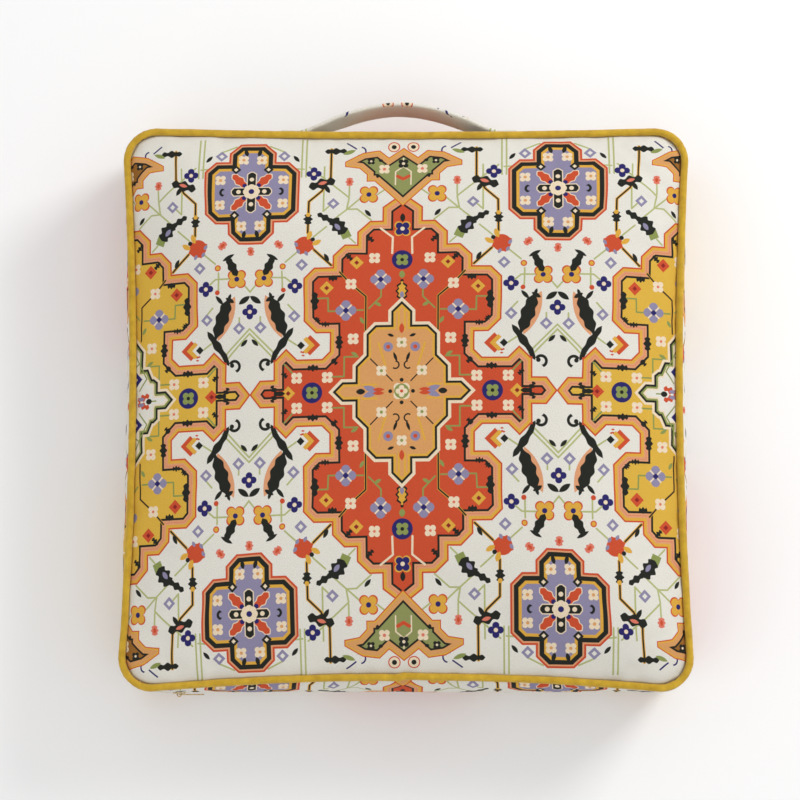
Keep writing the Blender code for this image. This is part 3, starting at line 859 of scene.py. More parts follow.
def medallion(print_):
    """The red medallion, or its gold repeat, with stepped bands round it."""
    nodes = print_.nodes
    outline = print_.within(print_.place, *MEDALLION)
    bands = ((1.4, VERMILION), (2.5, YELLOW), (1.6, SALMON), (0.5, ROSE), (1.7, SALMON), (1.9, BLACK))
    print_.banded(outline, bands, nodes.mix(print_.gold, VERMILION, GOLD))
    lines = (
        ((33.6, 71.8), (40.8, 71.8)),
        ((56.2, 71.5), (64, 71.5), (64.3, 83.3), (75, 83.3)),
        ((38, 30.6), (50, 30.6), (50, 13.5), (59.8, 13.5)),
        ((94.7, 16.6), (102.6, 25.3)),
        ((28.5, 73.2), (18.1, 83.7), (18.1, 91.6)),
    )
    print_.stems(lines, (0.7, GREEN))
    print_.stems((((31.3, 54), (31.3, 84), (44.4, 95.4), (54.4, 106.5)),), (1.1, YELLOW), (0.7, BLACK))


def field_flowers(print_):
    """Flowers and buds in the medallion's field, and black ornaments along its edge."""
    nodes = print_.nodes
    accent = nodes.mix(print_.gold, YELLOW, VERMILION)
    for at in ((78, 0), (0, 117.7)):
        print_.spot(at, (9, NAVY))
        print_.quatrefoil(at, 5.4, GREEN, BLACK)
    for at in ((64.6, 13), (91.6, 13), (42.2, 46.5), (44.4, 95.4), (24, 119.4)):
        print_.quatrefoil(at, 5, CREAM, ROSE, heart_size=0.25)
    for at in ((99.2, 0), (65.6, 92.4), (39.6, 115.1)):
        print_.diamond(at, (6.2, accent), (2.2, WINE))
    for at in ((48.6, 71.8), (18.5, 99.5)):
        print_.quatrefoil(at, 8, LAVENDER, NAVY, turn=45)
        print_.stems((((at[0] - 4.6, at[1] - 4.6), (at[0] + 4.6, at[1] + 4.6)),
                      ((at[0] - 4.6, at[1] + 4.6), (at[0] + 4.6, at[1] - 4.6))), (0.7, CREAM))
        print_.spot(at, (2.2, NAVY))
    for at, turn in (((41, 33), 30), ((34.5, 62.5), 60), ((20.8, 77), 30)):
        print_.leaf(at, turn, 7, 3, GREEN)
    ornaments = (
        ((77.3, 21.5), 0, 11, 5), ((58.5, 26.6), 45, 7, 4), ((54.6, 43.7), 90, 14, 6),
        ((66.7, 60), 0, 8, 4), ((74, 64), 45, 6, 4), ((76, 81), 90, 18, 6.5), ((60.2, 101), 0, 9, 4.5),
        ((102.5, 16), 45, 7, 4), ((46.5, 120.5), 45, 9, 4), ((28, 138), 45, 9, 4), ((112, 3.5), 60, 10, 4),
    )
    for at, turn, length, width in ornaments:
        print_.leaf(at, turn, length, width, BLACK, ripple=0.7)
    print_.leaf((106.5, 0), 0, 9, 4.4, BLACK)
    print_.leaf((0, 88.5), 90, 21, 9.6, BLACK, ripple=0.8, ripples=4)
    print_.leaf((0, 88.5), 90, 17, 6.4, accent, ripple=0.6, ripples=4)
    print_.leaf((0, 85), 90, 7, 3.6, LAVENDER)
    print_.leaf((0, 104), 90, 7, 5, GREEN)
    print_.stems((((8.7, 124), (8.3, 139.4), (19, 148)),), (0.9, CREAM))
    print_.quatrefoil((0, 147.5), 7.4, accent, CREAM)
    print_.quatrefoil((0, 147.5), 6.2, NAVY, CREAM)
    print_.leaf((0, 158), 90, 8, 4.4, BLACK)


def heart_medallion(print_):
    """The peach medallion in the middle of the red one."""
    outline = print_.within(print_.place, *HEART)
    bands = ((2.6, CREAM), (2, BLACK), (2, YELLOW))
    grown = print_.nodes.math("SUBTRACT", outline, 3.6)
    print_.banded(grown, bands, PEACH)
    print_.stems((((8, 9), (27, 28.5)),), (0.55, BLACK))
    print_.stems((((2.6, 54), (2.6, 71)), ((14, 22), (20, 42)), ((22, 6), (34, 6))), (0.9, YELLOW))
    print_.quatrefoil((0, 0), 7.4, CREAM, VERMILION)
    print_.spot((0, 0), (6.4, GREEN))
    print_.quatrefoil((0, 0), 4.6, CREAM, VERMILION, turn=45)
    for at in ((9.8, 0), (0, 9.8)):
        print_.spot(at, (1.7, BLACK))
    print_.leaf((27, 2.2), 20, 13, 5, LAVENDER)
    print_.leaf((20, 1.5), 0, 10, 3.4, VERMILION)
    print_.leaf((35.5, 0), 0, 8, 5, BLACK)
    for at in ((17.5, 18), (0, 42.5)):
        print_.quatrefoil(at, 4.6, CREAM, GREEN)
    print_.spot((11.7, 38.8), (4.2, LAVENDER), (1.8, VERMILION))
    print_.curl((5.5, 23), 200, 3.2, 1.3, BLACK, opening=0.3)
    print_.leaf((5.5, 30), 70, 9, 2.6, BLACK)
    print_.leaf((0, 55), 90, 9, 4.4, VERMILION)
    print_.leaf((9.5, 49), 20, 6, 2.6, BLACK)


def gold_heart(print_):
    """The off-white medallion in the middle of the gold one, shaded green inside its edge."""
    outline = print_.within(print_.place, *GOLD_HEART)
    grown = print_.nodes.math("SUBTRACT", outline, 3.6)
    bands = ((2.2, CREAM), (1.9, BLACK), (1.6, GREEN), (1.4, CREAM))
    print_.banded(grown, bands, GROUND)
    lines = (((30, 10), (38, 20), (30, 34), (18, 26)), ((20, 50), (30, 34)), ((47, 0), (38, 0)))
    print_.stems(lines, (0.6, GREEN))
    print_.leaf((34, 3.5), 18, 15, 5, VERMILION, ripple=0.8)
    print_.leaf((32, 2.5), 0, 7, 3.4, LAVENDER)
    print_.leaf((40, 0), 0, 6, 5, BLACK)
    print_.diamond((25, 20), (8.4, NAVY), (3.6, CREAM), (1.6, YELLOW))
    print_.quatrefoil((20, 46), 4.8, NAVY, YELLOW)
    print_.leaf((14, 36), 60, 8, 3.2, ROSE)


def end_medallion(print_):
    """The green or brown medallion at the panel's ends, lobed below."""
    nodes = print_.nodes
    outline = print_.within(print_.place, *END_MEDALLION)
    field = nodes.mix(print_.gold, OLIVE, BROWN)
    print_.banded(outline, ((0.9, VERMILION), (1.2, YELLOW), (3.9, PEACH), (1.7, BLACK)), field)
    print_.stems((((6.8, 190), (6.8, 203), (0, 208.5), (0, 217)), ((5, 197.5), (0, 194.6))), (0.6, CREAM))
    print_.stems((((5, 198.4), (0, 195.5)),), (1.5, VERMILION))
    print_.quatrefoil((16.7, 206), 4.8, CREAM, ROSE)
    print_.quatrefoil((0, 211.5), 4.6, BLACK, CREAM)
    print_.quatrefoil((28.5, 214.5), 3.4, BLACK, CREAM)
    print_.leaf((22.5, 199), 90, 4, 3, BLACK)
    print_.leaf((20, 215), 0, 4, 3, BLACK)


def cartouche(print_):
    """The lavender cartouche with its cross of black arms, from its own middle."""
    print_.place = print_.folded((REPEAT, 185))
    outline = print_.within(print_.place, *CARTOUCHE)
    bands = ((1.8, VERMILION), (1.4, SALMON), (4, BLACK), (2.6, YELLOW))
    print_.banded(outline, bands, LAVENDER)
    print_.leaf((11, 11), 45, 21, 9, CREAM, ripple=0.5)
    print_.leaf((11, 11), 45, 19, 7.4, VERMILION, ripple=0.5)
    arms = (((1, 0, 17.5), (0, 1, 3.6), (1, 0.8, 18.4)), ((0, 1, 20), (1, 0, 3.6), (0.8, 1, 20.8)))
    cross = print_.within(print_.place, *arms)
    print_.lay(cross, 0.9, CREAM)
    print_.lay(cross, 0, BLACK)
    for at in ((11.5, 0), (0, 12.5)):
        print_.spot(at, (2, CREAM))
    print_.spot((6.2, 6.2), (2.1, NAVY))
    print_.quatrefoil((0, 0), 6.6, CREAM, NAVY, heart_size=0.38)
    print_.quatrefoil((0, 0), 6.6, CREAM, NAVY, turn=45, heart_size=0.38)
    for at in ((28, 12), (8.2, 33)):
        print_.quatrefoil(at, 4.8, CREAM, PEACH)
    print_.diamond((14.5, 22.5), (4.6, BLACK), (1.9, CREAM))
    print_.leaf((26, 0), 90, 8, 5.5, BLACK)
    print_.spot((24.3, 0), (2.2, LAVENDER))
    print_.leaf((6, 41), 75, 8, 3.8, BLACK)


def weave(nodes, place, pitch, depth):
    """Bump of a plain weave of this pitch in millimetres, with uneven threads."""
    waves = nodes.vector("SCALE", place, (0, 0, 0), (0, 0, 0), 2 * pi / pitch)
    waves = nodes.vector("SINE", waves)
    over = nodes.node("SeparateXYZ", waves)
    threads = nodes.math("MULTIPLY", over, over.node.outputs[1])
    slubs = nodes.noise(place, 0.9, 3)
    return nodes.bump(nodes.math("MULTIPLY_ADD", slubs, 1.4, threads), depth, 0.6)


def printed(host, draw, colour, place, gold):
    """Runs a drawing function in a node group of its own, and returns the new colour and the place.

    The place comes out as it went in, by way of the colour: each group then waits for the one before,
    and the shader never has to hold many motifs at once.
    """
    group = bpy.data.node_groups.new(draw.__name__, "ShaderNodeTree")
    kinds = (("Colour", "NodeSocketColor"), ("Place", "NodeSocketVector"), ("Gold", "NodeSocketFloat"))
    for name, kind in kinds:
        group.interface.new_socket(name, in_out="INPUT", socket_type=kind)
    for name, kind in kinds[:2]:
        group.interface.new_socket(name, in_out="OUTPUT", socket_type=kind)
    inside = Nodes(group)
    entry = group.nodes.new("NodeGroupInput")
    print_ = Print(inside, *entry.outputs[:3])
    draw(print_)
    ends = group.nodes.new("NodeGroupOutput")
    inside.feed(ends.inputs[0], print_.colour)
    inside.feed(ends.inputs[1], inside.vector("MULTIPLY_ADD", print_.colour, (0, 0, 0), entry.outputs[1]))
    user = host.tree.nodes.new("ShaderNodeGroup")
    user.node_tree = group
    for slot, value in zip(user.inputs, (colour, place, gold)):
        host.feed(slot, value)
    return user.outputs[0], user.outputs[1]


def printed_cloth():
    """Smooth cotton printed with a carpet design."""
    nodes = Look("printed_cloth")
    quarter, gold = carpet_place(nodes)
    colour = GROUND
    for draw in (ground_stems, saz_leaf, ground_buds, ground_birds, medallion, field_flowers):
        colour, quarter = printed(nodes, draw, colour, quarter, gold)
    peach, quarter = printed(nodes, heart_medallion, colour, quarter, gold)
    white, quarter = printed(nodes, gold_heart, colour, quarter, gold)
    colour = nodes.mix(gold, peach, white)
    for draw in (end_medallion, cartouche):
        colour, quarter = printed(nodes, draw, colour, quarter, gold)
    place = cloth_place(nodes)
    grain = nodes.noise(place, 1.3, 4)
    shade = nodes.ramp(grain, (0.3, srgb(226, 224, 220)), (0.7, srgb(255, 255, 255)))
    nodes.set(Base_Color=nodes.mix(1.0, colour, shade, blend="MULTIPLY"), Roughness=0.92)
    nodes.set(Normal=weave(nodes, place, 0.55, 0.00012))
    nodes.shader.inputs["Specular IOR Level"].default_value = 0.25
    return nodes.material


# Plainer materials

def object_place(nodes):
    """Millimetres in the object's own space."""
    return nodes.vector("SCALE", nodes.node("TexCoord", output=3), (0, 0, 0), (0, 0, 0), 1000.0)


def cloth_place(nodes):
    """Millimetres on the flat cloth."""
    return nodes.vector("SCALE", nodes.node("UVMap", uv_map="cloth"), (0, 0, 0), (0, 0, 0), 1000.0)


def speckled(nodes, place, grain, dark, light, depth):
    """Colour, and relief of this depth, that vary over grains of this size in millimetres."""
    patches = nodes.noise(place, 1 / grain, 5)
    nodes.set(Base_Color=nodes.ramp(patches, (0.3, dark), (0.7, light)))
    nodes.set(Roughness=nodes.math("MULTIPLY_ADD", patches, 0.3, 0.6), Normal=nodes.bump(patches, depth, 0.7))
    return patches


def twill(nodes, place, pitch):
    """Height of a diagonal twill of this pitch in millimetres, with floating threads across it."""
    axes = nodes.node("SeparateXYZ", place)
    along, across = axes, axes.node.outputs[1]
    slant = nodes.math("MULTIPLY", nodes.math("ADD", along, across), 2 * pi / pitch)
    floats = nodes.math("MULTIPLY", nodes.math("SUBTRACT", along, across), 4 * pi / pitch)
    return nodes.math("MULTIPLY_ADD", nodes.math("SINE", floats), 0.3, nodes.math("SINE", slant))


def mustard_twill():
    """The piping's mustard cotton, with shade painted a little deeper between its ribs."""
    nodes = Look("mustard_twill")
    place = cloth_place(nodes)
    height = twill(nodes, place, 0.75)
    faded = nodes.ramp(nodes.noise(place, 0.12, 6), (0.3, srgb(208, 163, 22)), (0.7, srgb(236, 192, 44)))
    ribs = nodes.math("MULTIPLY_ADD", height, 0.3, 0.5)
    # painted shade: the colour darkens in the twill's valleys, following the same height as the bump
    painted_rib_shade = nodes.ramp(ribs, (0.0, srgb(214, 208, 190)), (0.6, WHITE))
    nodes.set(Base_Color=nodes.mix(1.0, faded, painted_rib_shade, blend="MULTIPLY"), Roughness=0.88)
    nodes.set(Normal=nodes.bump(height, 0.00018, 0.7))
    nodes.shader.inputs["Sheen Weight"].default_value = 0.15
    return nodes.material


def calico(name, dark, light, pitch):
    """A plain woven cotton with small flecks, woven in the object's own space."""
    nodes = Look(name)
    place = object_place(nodes)
    flecks = speckled(nodes, place, 3.0, dark, light, 0.0001)
    nodes.set(Roughness=nodes.math("MULTIPLY_ADD", flecks, 0.15, 0.8))
    nodes.set(Normal=weave(nodes, place, pitch, 0.00015))
    return nodes.material


def twisted_cotton():
    """White cotton cord and webbing, in slanting strands."""
    nodes = Look("twisted_cotton")
    place = object_place(nodes)
    speckled(nodes, place, 2.0, srgb(222, 216, 200), srgb(242, 238, 226), 0.0001)
    nodes.set(Normal=nodes.bump(twill(nodes, place, 1.6), 0.0003))
    return nodes.material


def foam_cells():
    nodes = Look("foam_cells")
    place = object_place(nodes)
    cells = nodes.node("TexVoronoi", place, output=0)
    cells.node.inputs["Scale"].default_value = 1.2
    # painted shade: the colour is darker at each cell's middle, where the bump sinks into a pit
    colour = nodes.ramp(cells, (0.0, srgb(214, 196, 138)), (0.5, srgb(242, 230, 186)))
    nodes.set(Base_Color=colour, Roughness=0.95, Normal=nodes.bump(cells, 0.0004))
    return nodes.material


def fibre_wadding():
    nodes = Look("fibre_wadding")
    speckled(nodes, object_place(nodes), 1.4, srgb(226, 226, 222), srgb(250, 250, 248), 0.0006)
    return nodes.material


def zip_tape_weave():
    nodes = Look("zip_tape_weave")
    place = object_place(nodes)
    speckled(nodes, place, 4.0, srgb(214, 206, 182), srgb(232, 226, 206), 0.0001)
    nodes.set(Normal=nodes.bump(twill(nodes, place, 0.9), 0.0002))
    return nodes.material


def nylon_coil():
    nodes = Look("nylon_coil")
    speckled(nodes, object_place(nodes), 1.0, srgb(212, 204, 178), srgb(232, 226, 206), 0.00003)
    nodes.set(Roughness=0.38)
    return nodes.material


def worn_brass():
    """Brass, rubbed bright in patches and duller between them."""
    nodes = Look("worn_brass")
    patches = speckled(nodes, object_place(nodes), 1.8, srgb(168, 136, 78), srgb(226, 200, 138), 0.00002)
    nodes.set(Metallic=1.0, Roughness=nodes.math("MULTIPLY_ADD", patches, -0.35, 0.5))
    return nodes.material


def sewing_thread():
    nodes = Look("sewing_thread")
    speckled(nodes, object_place(nodes), 0.8, srgb(226, 218, 196), srgb(246, 240, 224), 0.00006)
    return nodes.material


# Pieces carried along a line: piping, strap, zip

STITCH_LENGTH = 0.0026
STITCH_PITCH = 0.0036
THREAD_RADIUS = 0.00028


def mesh_piece(name, points, faces, cloth, material):
    """An object from points and faces, facing outwards, with its cloth's flat place at each face corner."""
    mesh = bpy.data.meshes.new(name)
    mesh.from_pydata(np.asarray(points).tolist(), [], faces)
    mesh.uv_layers.new(name="cloth").data.foreach_set("uv", np.asarray(cloth, np.float32).ravel())
    made = bmesh.new()
    made.from_mesh(mesh)
    bmesh.ops.recalc_face_normals(made, faces=made.faces)
    made.to_mesh(mesh)
    made.free()
    mesh.shade_smooth()
    mesh.materials.append(material)
    return add(name, mesh)


def swept(name, rings, material, closed=False):
    """A tube through rings of points: capped at its two ends, or closed round on itself."""
    stations, around = rings.shape[:2]
    here = np.arange(stations if closed else stations - 1)[:, None]
    there = (here + 1) % stations
    ring = np.arange(around)[None]
    after = (ring + 1) % around
    first, second = here * around, there * around
    quads = np.stack([first + ring, first + after, second + after, second + ring], axis=2)
    centres = rings.mean(axis=1)
    steps = np.linalg.norm(np.roll(centres, -1, axis=0) - centres, axis=1)
    walk = np.concatenate([[0], np.cumsum(steps)])
    girth = np.linalg.norm(np.roll(rings[0], -1, axis=0) - rings[0], axis=1)
    across = np.concatenate([[0], np.cumsum(girth)])
    u = np.stack([walk[here], walk[here], walk[here + 1], walk[here + 1]], 2) + 0 * ring[..., None]
    v = np.stack([across[ring], across[ring + 1], across[ring + 1], across[ring]], 2) + 0 * here[..., None]
    cloth = np.stack([u, v], 3).reshape(-1, 2)
    faces = quads.reshape(-1, 4).tolist()
    if not closed:
        faces += [list(range(around)), list(range((stations - 1) * around, stations * around))]
        cloth = np.concatenate([cloth, np.zeros((2 * around, 2))])
    return mesh_piece(name, rings.reshape(-1, 3), faces, cloth, material)


def bead(rings=5, sides=6):
    """A thread's stitch as a unit bead along X: points and faces."""
    points = []
    for ring in range(1, rings):
        bow = pi * ring / rings
        for side in range(sides):
            turn = 2 * pi * side / sides
            points.append((-cos(bow), sin(bow) ** 0.5 * cos(turn), sin(bow) ** 0.5 * sin(turn)))
    faces = []
    for start in range(0, (rings - 2) * sides, sides):
        for k in range(sides):
            after = (k + 1) % sides
            faces.append([start + k, start + after, start + sides + after, start + sides + k])
    faces += [list(range(sides)), list(range((rings - 2) * sides, (rings - 1) * sides))]
    return np.array(points), faces


def stitched(name, places, along, out, material):
    """A stitch of thread at each place, lying along one direction and standing out in another."""
    shape, shape_faces = bead()
    across = np.cross(out, along)
    axes = np.stack([along * STITCH_LENGTH / 2, across * THREAD_RADIUS, out * THREAD_RADIUS], axis=1)
    points = places[:, None] + np.einsum("pk,nkc->npc", shape, axes)
    faces = [[k + n * len(shape) for k in face] for n in range(len(places)) for face in shape_faces]
    cloth = points.reshape(-1, 3)[[k for face in faces for k in face]][:, :2]
    return mesh_piece(name, points.reshape(-1, 3), faces, cloth, material)


# Piping: cord in a bias strip of mustard cotton, sewn into each seam

COVER_RADIUS = 0.0032
PIPING_STEPS = 4  # stations between two points of the seam's turn
PIPING_SIDES = 16
JOIN_X = -0.004  # where the top piping's two ends are joined, on the zip's side
JOIN_STEP = 0.0008


def piping(name, height, node, material, join):
    """Piping all round a seam: a little uneven, gathered finely and creased at the corners."""
    turn = turn_points(0, (1, 1, 1, 1), CORNER_RADIUS)
    share = np.arange(PIPING_STEPS)[None, :, None] / PIPING_STEPS
    line = (turn[:, None] * (1 - share) + np.roll(turn, -1, axis=0)[:, None] * share).reshape(-1, 2)
    ahead = np.roll(line, -PIPING_STEPS, axis=0) - np.roll(line, PIPING_STEPS, axis=0)
    ahead /= np.linalg.norm(ahead, axis=1, keepdims=True)
    out = np.column_stack([ahead[:, 1], -ahead[:, 0]])
    centres = np.column_stack([line, np.full(len(line), height)])
    from_corner = np.linalg.norm(np.abs(line) - (HALF - CORNER_RADIUS / 2), axis=1)
    creased = 1 - smooth(from_corner, 0.01, 0.035)
    gather = 0.035 * waves(centres, 0.009, 5) + (0.03 + 0.05 * creased) * waves(centres, 0.0035, 6)
    sway = 0.0004 * waves(centres, 0.03, 7)
    if join:
        past = centres[:, 0] - JOIN_X
        at_join = (centres[:, 1] < 0) * np.exp(-np.abs(past) / 0.02)
        sway += JOIN_STEP * at_join * -np.tanh(past / 0.0015)
        gather += 0.12 * (centres[:, 1] < 0) * np.exp(-((past / 0.0025) ** 2))
    centres[:, :2] += out * sway[:, None]
    centres[:, 2] += 0.0003 * waves(centres, 0.025, 8)
    angles = np.arange(PIPING_SIDES) * 2 * pi / PIPING_SIDES
    radius = COVER_RADIUS * (1 + gather)
    sideways = np.concatenate([out, np.zeros((len(out), 1))], axis=1)[:, None] * np.cos(angles)[None, :, None]
    upwards = np.array([0, 0, 1]) * np.sin(angles)[None, :, None]
    rings = centres[:, None] + (sideways + upwards) * radius[:, None, None]
    tube = swept(name, rings, material, closed=True)
    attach(tube, "cushion")
    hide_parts(node)


# The strap: one printed length, folded round webbing, its two ends sewn flat to the handle's side

STRAP_LOW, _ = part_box("handle_end_left")
_, STRAP_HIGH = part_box("handle_end_right")
HANDLE_X = (STRAP_LOW.x + STRAP_HIGH.x) / 2
STRAP_REACH = (STRAP_HIGH.x - STRAP_LOW.x) / 2
STRAP_WIDTH = STRAP_HIGH.z - STRAP_LOW.z
STRAP_THICK = 0.0038
SEWN_END = 0.018
HANDLE_RISE = 0.0235
HANDLE_FLARE = 1.25
HANDLE_DROOP = radians(9)
STRAP_Y = STRAP_LOW.y + STRAP_THICK / 2
LOOP_START = 0.053  # from the middle to where the strap swings from
EDGE_STITCH = 0.003  # from the strap's edge to its stitching
STITCH_VALLEY = 0.0007
STRAP_CLEAR = 0.0004  # from the strap's inner face to the cloth that it is sewn to
STRAP_STATIONS = 240
END_ROUNDING = 0.0015
STRAP_PRINT = (-0.11, 0.205)  # where it is cut from the printed cloth


def strap_rise(along):
    arch = np.cos(pi / 2 * np.minimum(np.abs(along) / (STRAP_REACH - SEWN_END), 1))
    return HANDLE_RISE * np.maximum(arch, 0) ** HANDLE_FLARE


def strap_frame(along):
    """Centres, outward and forward directions of the strap at these distances from its middle."""
    step = 1e-4
    slope = (strap_rise(along + step) - strap_rise(along - step)) / (2 * step)
    long = np.hypot(1, slope)
    nothing = np.zeros_like(slope)
    centres = np.column_stack([HANDLE_X + along, STRAP_Y + strap_rise(along), nothing + MIDDLE])
    out = np.column_stack([-slope / long, 1 / long, nothing])
    forward = np.column_stack([1 / long, slope / long, nothing])
    return centres, out, forward


def drooped(points, along):
    """The strap's points after the loop sags about the line that it swings on."""
    pivot = np.array([0, STRAP_Y + strap_rise(np.array([LOOP_START]))[0], MIDDLE])
    angle = -HANDLE_DROOP * smooth(STRAP_REACH - SEWN_END - np.abs(along), 0, 0.035)
    arm = points - pivot
    turned = arm.copy()
    turned[..., 1] = arm[..., 1] * np.cos(angle) - arm[..., 2] * np.sin(angle)
    turned[..., 2] = arm[..., 1] * np.sin(angle) + arm[..., 2] * np.cos(angle)
    return turned + pivot


def strap_half_thickness(up):
    """Half the strap's thickness at a height from its middle: round edges, and a valley at the stitching."""
    half, edge = STRAP_WIDTH / 2, STRAP_THICK / 2
    past = np.clip((np.abs(up) - (half - edge)) / edge, 0, 1)
    valley = STITCH_VALLEY * np.exp(-(((np.abs(up) - (half - EDGE_STITCH)) / 0.0007) ** 2))
    return edge * np.sqrt(1 - past**2) - valley


def strap_section():
    """The strap's outline in section, as (out, up) distances from its middle."""
    steps = np.array([-1, -0.993, -0.97, -0.93, -0.88, -0.84, -0.81, -0.79, -0.76, -0.72, -0.65, -0.4, 0])
    up = STRAP_WIDTH / 2 * np.concatenate([steps, -steps[-2::-1]])
    out = strap_half_thickness(up)
    return np.column_stack([np.concatenate([out, -out[-2:0:-1]]), np.concatenate([up, up[-2:0:-1]])])


def strap(material):
    """The strap's cloth, slightly crumpled, with rounded ends."""
    along = np.linspace(-STRAP_REACH, STRAP_REACH, STRAP_STATIONS)
    section = strap_section()
    centres, out, _ = strap_frame(along)
    at_end = np.clip((np.abs(along) - (STRAP_REACH - END_ROUNDING)) / END_ROUNDING, 0, 0.97)
    ends = np.sqrt(1 - at_end**2)
    crumple = 1 + 0.06 * waves(centres, 0.012, 9) + 0.05 * waves(centres * (1, 1, 0.3), 0.004, 10)
    rings = centres[:, None] + out[:, None] * section[None, :, :1] * (ends * crumple)[:, None, None]
    rings[..., 2] += section[None, :, 1] * (1 - 0.02 * (1 - ends))[:, None]
    ripple = 0.0003 * waves(rings.reshape(-1, 3), 0.014, 11).reshape(rings.shape[:2])
    rings[..., 1] += ripple * smooth(STRAP_REACH - SEWN_END - np.abs(along), 0, 0.02)[:, None]
    made = swept("strap_cloth", drooped(rings, along[:, None]), material)
    move_print(made, STRAP_PRINT)
    return made


def strap_stitching(material):
    """Stitches along both edges of the strap, on both faces, and a box of them at each sewn end."""
    edge = STRAP_WIDTH / 2 - EDGE_STITCH
    box_sides = (0.0025, SEWN_END - 0.001)  # from the strap's end
    rows = np.arange(-STRAP_REACH + SEWN_END, STRAP_REACH - SEWN_END, STITCH_PITCH)
    lines = [(rows, np.full_like(rows, level), side) for level in (-1, 1) for side in (-1, 1)]
    box = np.arange(*box_sides, STITCH_PITCH)
    for end in (-1, 1):
        lines += [(end * (STRAP_REACH - box), np.full_like(box, level), 1) for level in (-1, 1)]
    places, forwards, outs = [], [], []
    for distances, level, side in lines:
        height = level * edge
        middle, facing, forward = strap_frame(distances)
        point = middle + facing * side * (strap_half_thickness(height) + THREAD_RADIUS * 0.5)[:, None]
        point[:, 2] += height
        places.append(drooped(point, distances))
        forwards.append(forward)
        outs.append(facing)
    cross = np.arange(-edge, edge, STITCH_PITCH)
    for end in (-1, 1):
        for inset in box_sides:
            distances = np.full_like(cross, end * (STRAP_REACH - inset))
            middle, facing, _ = strap_frame(distances)
            point = middle + facing * (STRAP_THICK / 2 + THREAD_RADIUS * 0.3)
            point[:, 2] += cross
            places.append(point)
            forwards.append(np.tile((0.0, 0, 1), (len(cross), 1)))
            outs.append(facing)
    return stitched("strap_stitching", *map(np.concatenate, (places, forwards, outs)), material)


def handle(printed_material, thread):
    """The strap and its stitching, which bend from the cushion to the loop."""
    cloth, stitches = strap(printed_material), strap_stitching(thread)
    for piece in (cloth, stitches):
        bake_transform(piece)
    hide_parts("handle_strap", "handle_end_left", "handle_end_right")


def move_print(obj, offset):
    """Slides the cloth that a piece is cut from."""
    layer = obj.data.uv_layers["cloth"].data
    flat = np.zeros(len(layer) * 2, np.float32)
    layer.foreach_get("uv", flat)
    layer.foreach_set("uv", (flat.reshape(-1, 2) + np.array(offset, np.float32)).ravel())


# The zip

COIL_PITCH = 0.0014
COIL_WIRE = 0.00026
COIL_REACH = (0.0006, 0.0011)  # the loops' half depth and half height


def coil(name, node, phase, material):
    """A nylon coil of a zip: a wire wound in flattened loops that mesh with the other half's."""
    low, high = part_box(node)
    middle = (low + high) / 2
    turns = int((high.x - low.x) / COIL_PITCH)
    angle = np.linspace(0, 2 * pi * turns, turns * 10 + 1)
    x = np.linspace(low.x + COIL_WIRE, high.x - COIL_WIRE, len(angle))
    y = middle.y + COIL_REACH[0] * np.cos(angle + phase)
    z = middle.z + COIL_REACH[1] * np.sin(angle + phase)
    line = np.column_stack([x, y, z])
    ahead = np.gradient(line, axis=0)
    ahead /= np.linalg.norm(ahead, axis=1, keepdims=True)
    side = np.cross(ahead, (1, 0, 0))
    side /= np.linalg.norm(side, axis=1, keepdims=True)
    other = np.cross(ahead, side)
    around = np.arange(5) * 2 * pi / 5
    sideways = side[:, None] * np.cos(around)[None, :, None]
    upwards = other[:, None] * np.sin(around)[None, :, None]
    rings = line[:, None] + COIL_WIRE * (sideways + upwards)
    wire = swept(name, rings, material)
    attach(wire, "cushion")
    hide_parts(node)


def tab(name, node, offset, material):
    """A small folded patch of printed cloth over an end of the zip."""
    low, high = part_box(node)
    middle, half = (low + high) / 2, (high - low) / 2
    x = np.linspace(-1, 1, 25)
    around = np.linspace(0, 2 * pi, 28, endpoint=False)
    fall = (1 - np.abs(x) ** 8) ** 0.5
    depth = np.sign(np.sin(around)) * np.abs(np.sin(around)) ** 0.5
    height = np.sign(np.cos(around)) * np.abs(np.cos(around)) ** 0.3
    rings = np.zeros((len(x), len(around), 3))
    rings[..., 0] = middle.x + half.x * x[:, None]
    rings[..., 1] = middle.y + half.y * depth[None] * np.maximum(fall, 0.1)[:, None]
    rings[..., 2] = middle.z + half.z * height[None] * (0.96 + 0.04 * fall)[:, None]
    patch = swept(name, rings, material)
    move_print(patch, offset)
    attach(patch, "cushion")
    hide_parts(node)


def topstitching(cover, thread):
    """Two rows of stitches that hold the gusset to the zip's tapes."""
    places, normals, forwards = [], [], []
    reach = HALF[0] - CORNER_RADIUS - 0.006
    for level in (-1, 1):
        height = MIDDLE + level * (ZIP_OPENING / 2 + EDGE_STITCH)
        for x in np.arange(-reach, reach, STITCH_PITCH):
            _, place, normal, _ = cover.closest_point_on_mesh((x, -HALF[1], height))
            places.append(place + normal * THREAD_RADIUS * 0.4)
            normals.append(normal)
            forwards.append(Vector((0, 0, 1)).cross(normal).normalized())
    stitches = stitched("zip_stitching", np.array(places), np.array(forwards), np.array(normals), thread)
    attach(stitches, "cushion")


def finish_node(material, *names):
    """Gives solids that keep their shape a finished material."""
    for name in names:
        for slot in bpy.data.objects[name].material_slots:
            slot.material = material


def filling_and_fittings():
    """Materials for the solids that stay."""
    finish_node(foam_cells(), "foam_core")
    finish_node(fibre_wadding(), "wadding_top", "wadding_bottom")
    lining = calico("lining_calico", srgb(232, 226, 210), srgb(248, 244, 232), 0.8)
    finish_node(lining, "inner_case_top", "inner_case_bottom")
    backing = calico("backing_calico", srgb(214, 202, 178), srgb(232, 222, 200), 0.7)
    finish_node(backing, "handle_backing_left", "handle_backing_right")
    finish_node(twisted_cotton(), "piping_cord_top", "piping_cord_bottom", "handle_webbing")
    finish_node(zip_tape_weave(), "zip_tape_upper", "zip_tape_lower")
    finish_node(worn_brass(), "zip_slider", "zip_pull")


# Camera, light and floor
CAMERA_DISTANCE = 2.2
CAMERA_TILT = radians(5.5)
LENS = 112.9
AIM = Vector((-0.0053, 0.0061, 0.09))


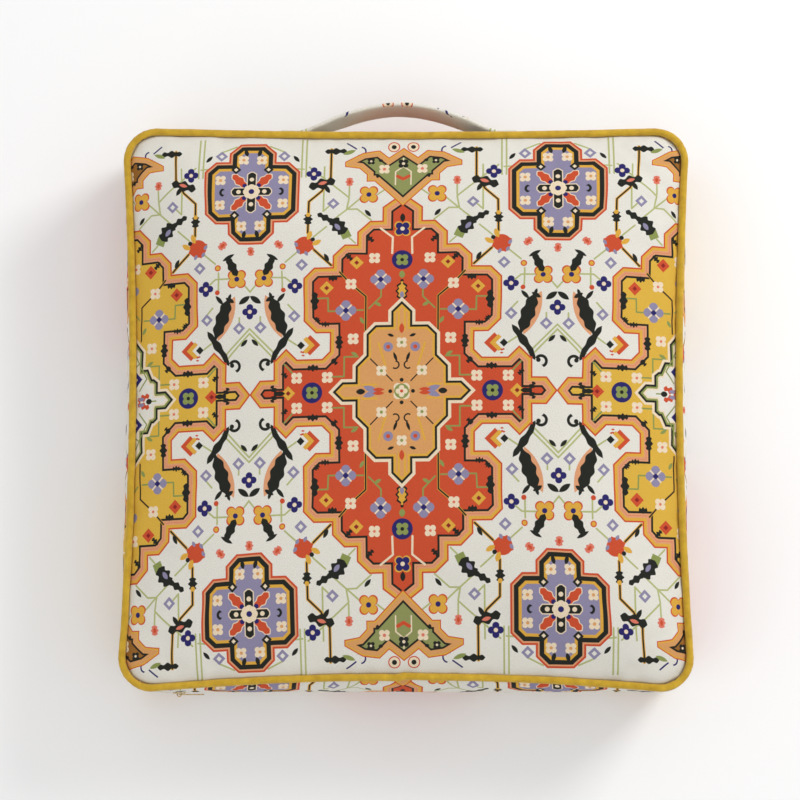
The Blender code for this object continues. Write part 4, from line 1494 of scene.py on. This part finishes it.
def camera():
    data = bpy.data.cameras.new("camera")
    data.lens = LENS
    data.sensor_width = 36
    data.clip_end = 20
    made = bpy.data.objects.new("camera", data)
    back = Vector((0, -sin(CAMERA_TILT), cos(CAMERA_TILT)))
    made.location = AIM + back * CAMERA_DISTANCE
    made.rotation_euler = (CAMERA_TILT, 0, 0)
    bpy.context.scene.collection.objects.link(made)
    bpy.context.scene.camera = made


def lamp(name, place, size, energy):
    data = bpy.data.lights.new(name, "AREA")
    data.size = size
    data.energy = energy
    made = bpy.data.objects.new(name, data)
    made.location = place
    made.rotation_euler = (-Vector(place)).to_track_quat("-Z", "Y").to_euler()
    bpy.context.scene.collection.objects.link(made)


def studio():
    world = bpy.data.worlds.new("studio")
    world.use_nodes = True
    world.node_tree.nodes["Background"].inputs["Color"].default_value = (1, 1, 1, 1)
    world.node_tree.nodes["Background"].inputs["Strength"].default_value = 0.74
    bpy.context.scene.world = world
    lamp("key", (1.8, 1.5, 1.4), 0.9, 34)
    lamp("fill", (-1.5, -1.2, 1.8), 1.8, 7)
    bpy.ops.mesh.primitive_plane_add(size=12, location=(0, 0, 0))
    floor = bpy.context.object
    floor.name = "floor"
    floor.data.materials.append(floor_paint())
    bpy.context.scene.view_settings.view_transform = "Standard"


def floor_paint():
    nodes = Look("floor")
    nodes.set(Base_Color=srgb(250, 250, 250), Roughness=0.8)
    return nodes.material


def plain_cloth():
    """Unbleached cotton."""
    nodes = Look("plain_cloth")
    place = cloth_place(nodes)
    nodes.set(Base_Color=srgb(226, 216, 194), Roughness=0.92, Normal=weave(nodes, place, 0.7, 0.00015))
    return nodes.material


def cushion():
    """Every piece of the cushion."""
    carpet, mustard, thread, nylon = printed_cloth(), mustard_twill(), sewing_thread(), nylon_coil()
    cover = cover_cage()
    topstitching(cover, thread)
    cover_panels(cover, carpet, plain_cloth())
    piping("piping_cloth_top", SEAM_HIGH, "piping_cover_top", mustard, join=True)
    piping("piping_cloth_bottom", SEAM_LOW, "piping_cover_bottom", mustard, join=False)
    handle(carpet, thread)
    coil("nylon_coil_upper", "zip_coil_upper", 0, nylon)
    coil("nylon_coil_lower", "zip_coil_lower", pi, nylon)
    tab("zip_tab_cloth_left", "zip_end_tab_left", (0.0, 0.02), carpet)
    tab("zip_tab_cloth_right", "zip_end_tab_right", (0.03, 0.08), carpet)
    filling_and_fittings()


cushion()
camera()
studio()
